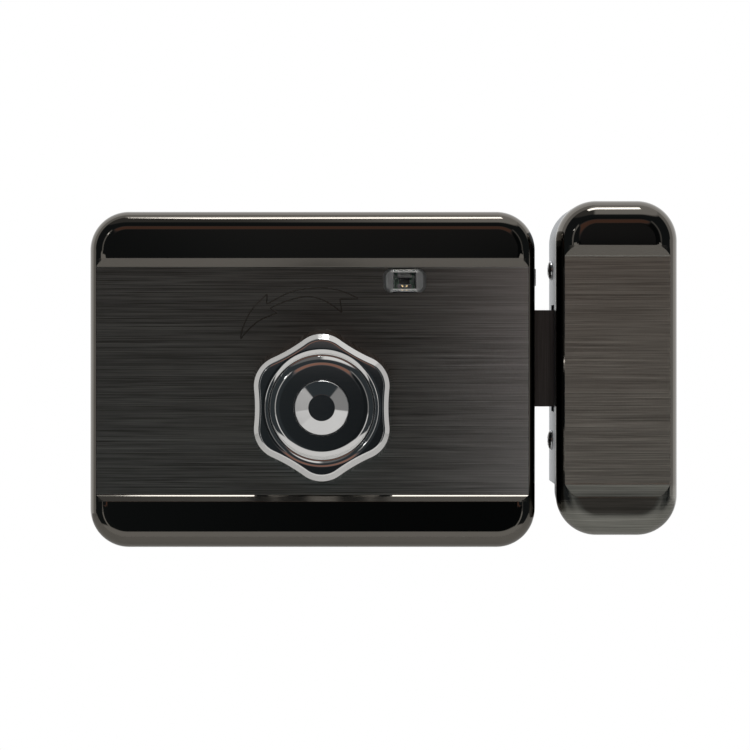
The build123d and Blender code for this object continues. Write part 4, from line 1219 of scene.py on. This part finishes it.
    def build_window(self) -> None:
        """Clear lens with sloping front edges, its flange behind the panel and a hollow for the lamp."""
        rings = [[room(x, z, depth) for x, z in self.opening(grow, 12)] for grow, depth in self.lens_profile]
        half_x, half_z, rear, front = self.lens_hollow
        outline = rectangle(self.x - half_x, self.x + half_x, self.z - half_z, self.z + half_z)
        lens = cut_out(rings_solid("lens", rings), [prism("hollow", outline, Run.INTO_DOOR, rear, front)])
        hand_over(smooth(lens, 25), "lock_case", CLEAR, ("indicator_window",))

    def build_highlight_strips(self) -> None:
        """Painted highlight: two chrome strips above and below the lamp, which look out and down and stand
        for the bright top and bottom edges of the clear lens.
        """
        front, bevel, rear = self.highlight_strip_depths
        start, end = self.x - self.highlight_strip_half, self.x + self.highlight_strip_half
        for name, heights in self.highlight_strips.items():
            low, high = (self.z + height for height in heights)
            outline = [(front, high), (bevel, low), (rear, low), (rear, high)]
            strip = smooth(prism(name, outline, Run.ALONG_X, start, end))
            hand_over(strip, "lock_case", CHROME)

    def build_indicator(self) -> None:
        """Two lipped lamp bodies and the gold pads between them, behind the clear window."""
        board = Extent.of("control_board").front
        foot, floor, front, over = (board + rise for rise in self.lip_rise)
        left, right = self.x - self.lip_half, self.x + self.lip_half
        for name, heights in self.lips.items():
            low, high = (self.z + height for height in heights)
            outer, inner = (round_outline(left + wall, right - wall, low + wall, high - wall, corner, 5)
                            for wall, corner in zip((0.0, self.lip_wall), self.lip_corners))
            hollow = prism("hollow", inner, Run.INTO_DOOR, floor, over)
            lip = cut_out(prism(name, outer, Run.INTO_DOOR, foot, front), [hollow])
            hand_over(smooth(lip), "lock_case", LAMP_RESIN)
        for side, name in ((-1, "gold_pad_left"), (1, "gold_pad_right")):
            outline = [(self.x + side * across, self.z + up) for across, up in self.pad_outline]
            pad = prism(name, outline, Run.INTO_DOOR, *(board + rise for rise in self.pad_rise))
            hand_over(smooth(pad), "lock_case", GOLD)

    def build(self) -> None:
        """All of the case's own pieces."""
        self.build_cover()
        self.build_window()
        self.build_highlight_strips()
        self.build_indicator()


@dataclass
class Thumbturn:
    """Lobed knob with a valley round its raised crown, and the push button in its middle.

    Sizes are in millimetres, across from the axis and along it from the door.
    """

    rear: float = 37.3
    front: float = 56.3
    base_lobe: float = 22.8
    shoulder_lobe: float = 21.5
    rim_lobe: float = 19.8
    shoulder_drop: float = 1.65
    rounds: Point3 = (0.8, 0.6, 1.1)
    lobe_rise: float = 2.0
    lobe_centre: float = 12.5
    lobe_count: int = 6
    face_radius: float = 17.35
    valley_radius: float = 15.35
    valley_slope: float = 45.0
    crown_flat: float = 12.25
    button_radius: float = 7.9
    button_gap: float = 0.2
    button_rise: float = 0.35
    button_cone: float = 1.3
    button_thickness: float = 5.9
    button_rounds: Point3 = (0.2, 0.3, 0.1)
    dot: float = 3.85
    hole_floor: float = 46.35
    hole_bevel: float = 0.12
    fade_short: float = 0.4
    steps: int = 360

    def bends(self) -> Point2:
        """Radii of the bends from the rim into the valley and from the crown into it."""
        slope = math.sin(math.radians(self.valley_slope))
        return (self.face_radius - self.valley_radius) / slope, (self.valley_radius - self.crown_flat) / slope

    def crown_front(self) -> float:
        """Depth of the crown's flat."""
        rim_bend, crown_bend = self.bends()
        return self.front + (crown_bend - rim_bend) * (1 - math.cos(math.radians(self.valley_slope)))

    def profile(self) -> list[Point2]:
        """(radius, depth) points of the knob, through the tips of the lobes.

        Returns:
            The points, from the axis round and back to the axis.
        """
        rim_bend, crown_bend = self.bends()
        crown = self.crown_front()
        hole = self.button_radius + self.button_gap
        side = [(0.0, self.rear), (self.base_lobe, self.rear),
                (self.shoulder_lobe, self.front - self.shoulder_drop), (self.rim_lobe, self.front),
                (self.face_radius, self.front)]
        points = eased(side, self.rounds, 10)
        points += arc((self.face_radius, self.front - rim_bend), rim_bend, 90, 90 + self.valley_slope, 16)[1:]
        points += arc((self.crown_flat, crown - crown_bend), crown_bend, 90 - self.valley_slope, 90, 22)[1:]
        bevel, floor = self.hole_bevel, self.hole_floor
        return points + [(hole + bevel, crown), (hole, crown - bevel), (hole, floor), (0.0, floor)]

    def lobe_sizes(self) -> dict[str, float]:
        """Sizes of the tangent arcs that make the lobed outline.

        Returns:
            The sizes by input name of the tree of lobes.
        """
        half = math.pi / self.lobe_count
        closing = 1 - math.cos(half)
        far = ((self.lobe_rise ** 2 - 2 * self.lobe_rise * self.lobe_centre)
               / (2 * self.lobe_centre * closing - 2 * self.lobe_rise))
        hollow = Vector((far * math.cos(half), far * math.sin(half)))
        join = (hollow - Vector((self.lobe_centre, 0.0))).normalized()
        return {"Lobe Centre": self.lobe_centre, "Lobe Rise": self.lobe_rise, "Hollow Centre": far,
                "Half Step": half, "Join Across": join.x, "Join Aside": join.y,
                "Fade From": self.face_radius, "Fade To": self.rim_lobe - self.fade_short}

    def lobes(self) -> GeometryTree:
        """Tree that draws a round solid in between its lobes, each ring by its own radius.

        Returns:
            The tree, which takes a solid of revolution.
        """
        tree = GeometryTree("round_to_lobed", self.lobe_sizes())
        plus, minus, times, size = tree.plus, tree.minus, tree.times, tree.size
        x, y, z = tree.axes(tree.node("GeometryNodeInputPosition").outputs["Position"])
        radius = tree.math("SQRT", plus(times(x, x), times(z, z)))
        off = tree.math("PINGPONG", plus(tree.math("ARCTAN2", z, x), math.radians(270)), size("Half Step"))
        rest = minus(size("Half Step"), off)

        def reach(length: Socket, centre: Socket, turn: Socket) -> Socket:
            """How far an arc's point lies past the foot of its centre, in the direction of a turn."""
            side = times(centre, tree.math("SINE", turn))
            return tree.math("SQRT", tree.highest(minus(times(length, length), times(side, side)), 0.0))

        centre, far = size("Lobe Centre"), size("Hollow Centre")
        rounding = tree.highest(minus(radius, centre), 0.001)
        lobe = plus(times(centre, tree.math("COSINE", off)), reach(rounding, centre, off))
        bend = minus(far, minus(radius, size("Lobe Rise")))
        hollow = minus(times(far, tree.math("COSINE", rest)), reach(bend, far, rest))
        join = tree.math("ARCTAN2", times(rounding, size("Join Aside")),
                         plus(centre, times(rounding, size("Join Across"))))
        on_lobe = tree.math("LESS_THAN", off, join)
        edge = plus(times(on_lobe, lobe), times(minus(1.0, on_lobe), hollow))
        fade = tree.result("ShaderNodeMapRange", "Result",
                           {"Value": radius, "From Min": size("Fade From"), "From Max": size("Fade To")})
        drawn_in = minus(radius, times(minus(radius, edge), fade))
        factor = tree.math("DIVIDE", drawn_in, tree.highest(radius, 0.001))
        place = tree.vector(times(x, factor), y, times(z, factor))
        tree.close(tree.result("GeometryNodeSetPosition", "Geometry",
                               {"Geometry": tree.start.outputs["Geometry"], "Position": place}))
        return tree

    def build_knob(self) -> None:
        """The knob's cup with its valley and crown."""
        knob = self.lobes().run(lathe("thumbturn_knob", self.profile(), self.steps), CHROME)
        hand_over(smooth(knob), "thumbturn", CHROME, ("knob",))

    def build_button(self) -> None:
        """Push button: a low cone with a flat dot in the middle."""
        edge = self.crown_front() + self.button_rise
        front = edge + self.button_cone
        rear = edge - self.button_thickness
        side = [(0.0, rear), (self.button_radius, rear), (self.button_radius, edge), (self.dot, front),
                (0.0, front)]
        button = smooth(lathe("centre_button", eased(side, self.button_rounds, 6), 192), 40)
        hand_over(button, "release_button", BUTTON_CHROME, ("push_button",))

    def build(self) -> None:
        """Knob and button."""
        self.build_knob()
        self.build_button()


@dataclass
class Keeper:
    """The keeper's cover and the screws in its flange."""

    cover: CoverShell = field(default_factory=lambda: CoverShell(
        "keeper_cover", KEEPER_PANEL, corner=12.0, sink=1.7, soft=7.0, waist_rise=0.5, waist_run=0.5,
        lower_creases=(1.2, 1.2, 1.2)))
    lip: float = 7.0
    wrap: float = 58.0
    past: Point2 = (1.5, 3.0)
    screw_middle: Point3 = (69.6, -12.0, 15.15)
    screw_span: float = 51.7
    screw_turn: float = -90.0
    head_radius: float = 3.0
    head_height: float = 1.3
    head_edge: float = 0.25
    shank_radius: float = 1.5
    shank_length: float = 7.65
    shank_bevel: float = 0.3
    cross_reach: float = 0.55
    cross_half: float = 0.13
    cross_floor: float = 0.35

    def build_cover(self) -> None:
        """Cover that is open on the lock's side, behind its front lip."""
        turn = math.radians(self.wrap)
        edges = self.cover.edges
        reach = self.cover.corner * (1 - math.cos(turn))
        rise = self.cover.corner * (1 - math.sin(turn))
        beside, behind = self.past
        outline = rectangle(edges.left - beside, edges.left + reach, edges.low + rise, edges.high - rise)
        cut = prism("open_side", outline, Run.INTO_DOOR, -behind, edges.front - self.lip)
        cover = self.cover.shell("keeper_shell", [cut], [])
        hand_over(cover, "keeper", KEEPER_NICKEL, ("keeper_cover",))

    def one_screw(self) -> Piece:
        """Pan-head screw with a cross recess, its head towards the room.

        Returns:
            The screw, with its seat at depth 0.
        """
        rise, edge, head = self.head_height, self.head_edge, self.head_radius
        foot, shank, bevel = -self.shank_length, self.shank_radius, self.shank_bevel
        points = [(0.0, foot), (shank - bevel, foot), (shank, foot + bevel), (shank, 0.0), (head, 0.0),
                  (head, rise * edge)]
        points += [(head * math.cos(turn), rise * (edge + (1 - edge) * math.sin(turn)))
                   for turn in (0.25, 0.5, 0.75, 1.0, 1.25, 1.45)]
        screw = lathe("flange_screws", points + [(0.0, rise)], 28)
        arm, half = head * self.cross_reach, head * self.cross_half
        cross = [(arm, half), (half, half), (half, arm), (-half, arm), (-half, half), (-arm, half),
                 (-arm, -half), (-half, -half), (-half, -arm), (half, -arm), (half, -half), (arm, -half)]
        return cut_out(screw, [prism("recess", cross, Run.INTO_DOOR, rise * self.cross_floor, rise + 1)])

    def screw_tree(self) -> GeometryTree:
        """Tree that sets a screw out along the flange, heads towards the lock.

        Returns:
            The tree, which takes one screw.
        """
        tree = GeometryTree("screws_along_flange", {
            "Span": self.screw_span, "Turn": math.radians(self.screw_turn),
            **{f"Middle {axis}": value for axis, value in zip("XYZ", self.screw_middle)}})
        lowest = tree.plus(tree.size("Middle Z"), tree.times(tree.size("Span"), -0.5))
        places = tree.result("GeometryNodeMeshLine", "Mesh", {
            "Count": 2, "Start Location": tree.vector(tree.size("Middle X"), tree.size("Middle Y"), lowest),
            "Offset": tree.vector(z=tree.size("Span"))})
        tree.close(tree.result("GeometryNodeInstanceOnPoints", "Instances", {
            "Points": places, "Instance": tree.start.outputs["Geometry"],
            "Rotation": tree.vector(z=tree.size("Turn"))}))
        return tree

    def build(self) -> None:
        """Cover and flange screws."""
        self.build_cover()
        screws = self.screw_tree().run(self.one_screw(), SCREW_STEEL)
        hand_over(smooth(screws, 35), "keeper", SCREW_STEEL, ("keeper_screws",))


# Studio


class MirroredRoom(Nodes):
    """World: white to the camera, and to mirrors a pale room that is dark where the camera stands.

    A direction is read by its parts to the right, away from the camera and up, each from -1 to 1.
    """

    def __init__(self) -> None:
        """Starts an empty world."""
        world = bpy.data.worlds.new("studio")
        bpy.context.scene.world = world
        world.use_nodes = True
        super().__init__(world.node_tree)
        self.tree.nodes.clear()
        self.across, self.away, self.up = self.axes(self.node("ShaderNodeTexCoord").outputs["Generated"])

    def soft(self, value: Socket, source: Point2, target: Point2 = (0.0, 1.0)) -> Socket:
        """Soft step from one level to another."""
        return self.remap(value, source, target, soft=True)

    def frame_round_camera(self, reach: Socket) -> Socket:
        """Pale ring round the camera, in three parts of their own brightness.

        Args:
            reach: How far a direction lies off the camera's.

        Returns:
            Socket with the ring's brightness.
        """
        ring = self.times(self.soft(reach, (0.50, 0.54)), self.soft(reach, (0.60, 0.64), (1.0, 0.0)))
        left = self.minus(self.times(self.across, -1.0), self.times(self.up, 0.7))
        right = self.minus(self.across, self.times(self.up, 0.6))
        down = self.times(self.up, -1.0)
        parts = [self.times(ring, self.soft(side, (0.06, 0.12), (0.0, level)))
                 for side, level in ((left, 0.42), (right, 0.22), (down, 0.64))]
        return self.highest(*parts)

    def glow(self) -> Socket:
        """Brightness of the room, where 1 is white.

        Returns:
            Socket with the brightness.
        """
        across, away, up = self.across, self.away, self.up
        reach = self.math("SQRT", self.plus(self.times(across, across), self.times(up, up)))
        side = self.math("ABSOLUTE", across)
        dark_front = self.soft(across, (-0.12, 0.03), (0.03, 0.011))
        haze = self.soft(reach, (0.3, 0.6), (0.0, 0.035))
        under = self.minus(self.times(up, -1.0), self.soft(side, (0.0, 0.8), (0.28, 0.46)))
        table = self.soft(under, (-0.03, 0.03), (0.0, 0.62))
        side_walls = self.soft(away, (-0.11, -0.03), (0.0, 0.52))
        rear_wall = self.soft(away, (0.0, 0.7), (0.0, 0.9))
        ceiling_lamp = self.soft(up, (0.97, 0.998), (0.0, 0.9))
        ceiling = self.times(self.soft(up, (0.70, 0.80)), self.soft(across, (-0.05, 0.05), (0.13, 0.70)))
        return self.highest(dark_front, haze, table, self.frame_round_camera(reach), side_walls, rear_wall,
                            ceiling_lamp, ceiling)

    def warmth(self) -> Socket:
        """Share of copper light: a wedge above the horizon and a small smear inside it.

        Returns:
            Socket with the share.
        """
        across, away, up = self.across, self.away, self.up
        band = self.times(self.soft(up, (0.02, 0.14), (0.12, 1.0)), self.soft(up, (0.34, 0.46), (1.0, 0.0)))
        band = self.highest(band, self.soft(up, (0.006, 0.03), (0.34, 0.0)))
        beside = self.minus(self.math("ABSOLUTE", across), self.times(up, 0.75))
        wedge = self.times(band, self.soft(beside, (0.0, 0.06), (1.0, 0.0)), self.soft(up, (-0.007, 0.003)),
                           self.soft(away, (-0.9, -0.8), (1.0, 0.0)))
        off_x = self.math("ABSOLUTE", self.minus(across, 0.085))
        off_z = self.math("ABSOLUTE", self.minus(up, 0.040))
        smear = self.times(self.soft(off_x, (0.025, 0.050), (0.25, 0.0)),
                           self.soft(off_z, (0.002, 0.009), (1.0, 0.0)))
        return self.highest(wedge, smear)

    def build(self) -> None:
        """Joins brightness and colour, and puts plain white behind the lock."""
        cool, neutral, copper = (0.80, 0.96, 1.06), (1.0, 0.99, 0.975), (1.0, 0.52, 0.38)
        copper_strength = 0.20
        behind_lock = 0.3
        glow, warm = self.glow(), self.warmth()
        colour = self.blend(warm, self.blend(self.soft(glow, (0.03, 0.12)), cool, neutral), copper)
        strength = self.plus(glow, self.times(warm, copper_strength))
        room_light, white = (
            self.result("ShaderNodeBackground", "Background", {"Color": tint, "Strength": level})
            for tint, level in ((colour, strength), ((1.0, 1.0, 1.0), 1.0)))
        rays = self.node("ShaderNodeLightPath").outputs
        through = self.times(self.highest(rays["Is Glossy Ray"], rays["Is Transmission Ray"]),
                             self.math("GREATER_THAN", self.away, behind_lock))
        seen_white = self.highest(rays["Is Camera Ray"], through)
        choose = self.node("ShaderNodeMixShader")
        for socket, value in zip(choose.inputs, (seen_white, room_light, white)):
            self.feed(socket, value)
        self.feed(self.node("ShaderNodeOutputWorld").inputs["Surface"], choose.outputs["Shader"])


@dataclass(frozen=True)
class SoftBox:
    """Rectangular lamp that looks at the lock, in metres and watts."""

    name: str
    place: Point3
    size: Point2
    watts: float
    mirrored: bool
    target: Point3 = (0.015, -0.03, 0.01)

    def build(self) -> None:
        """Hangs the lamp."""
        data = bpy.data.lights.new(self.name, "AREA")
        data.shape = "RECTANGLE"
        data.size, data.size_y = self.size
        data.energy = self.watts
        lamp = bpy.data.objects.new(self.name, data)
        bpy.context.scene.collection.objects.link(lamp)
        lamp.location = self.place
        lamp.rotation_mode = "QUATERNION"
        lamp.rotation_quaternion = (Vector(self.target) - Vector(self.place)).to_track_quat("-Z", "Y")
        lamp.visible_glossy = self.mirrored


@dataclass(frozen=True)
class Studio:
    """Floor, world, lamps and camera, in metres."""

    lamps: tuple[SoftBox, ...] = (
        SoftBox("top_softbox", (0.06, -0.163, 0.95), (0.36, 0.17), watts=1.36, mirrored=True),
        SoftBox("left_spot", (-0.46, -0.74, 0.36), (0.05, 0.05), watts=0.03, mirrored=True),
        SoftBox("front_fill", (0.3, -1.3, 0.5), (0.9, 0.9), watts=6.0, mirrored=False),
    )
    floor_level: float = -0.30
    floor_half: float = 1.6
    floor_span: Point2 = (-0.26, 1.15)
    sensor: float = 36.0
    camera_reach: float = 0.90
    view_width: float = 0.2225
    camera_across: float = 0.0114
    camera_up: float = 0.0174
    off_centre: Point2 = (0.00418, -0.00805)

    def floor(self) -> None:
        """Plain pale floor below the lock."""
        outline = rectangle(-self.floor_half, self.floor_half, *self.floor_span)
        piece = new_piece("floor", [(x, y, self.floor_level) for x, y in outline], [[0, 1, 2, 3]])
        piece.data.materials.append(Moulded("pale_floor", (0.82, 0.82, 0.81), 0.6, 0.00005).material())

    def camera(self) -> None:
        """Camera straight in front of the cover, as the photograph was taken."""
        data = bpy.data.cameras.new("camera")
        data.sensor_width = self.sensor
        data.lens = self.sensor * self.camera_reach / self.view_width
        data.shift_x, data.shift_y = (shift / self.view_width for shift in self.off_centre)
        data.clip_start, data.clip_end = 0.05, 20
        camera = bpy.data.objects.new("camera", data)
        bpy.context.scene.collection.objects.link(camera)
        cover_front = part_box("front_cover")[0][1]
        camera.location = (self.camera_across, cover_front - self.camera_reach, self.camera_up)
        camera.rotation_euler = (math.radians(90), 0, 0)
        bpy.context.scene.camera = camera

    def build(self) -> None:
        """Everything round the object."""
        bpy.context.scene.view_settings.view_transform = "Standard"
        MirroredRoom().build()
        for lamp in self.lamps:
            lamp.build()
        self.floor()
        self.camera()


def main() -> None:
    """Builds the studio and each sub-assembly in order."""
    logging.basicConfig(level=logging.INFO, format="%(message)s")
    Studio().build()
    dress_nodes()
    for assembly in (Case(), Thumbturn(), Keeper()):
        assembly.build()


if __name__ == "__main__":
    main()
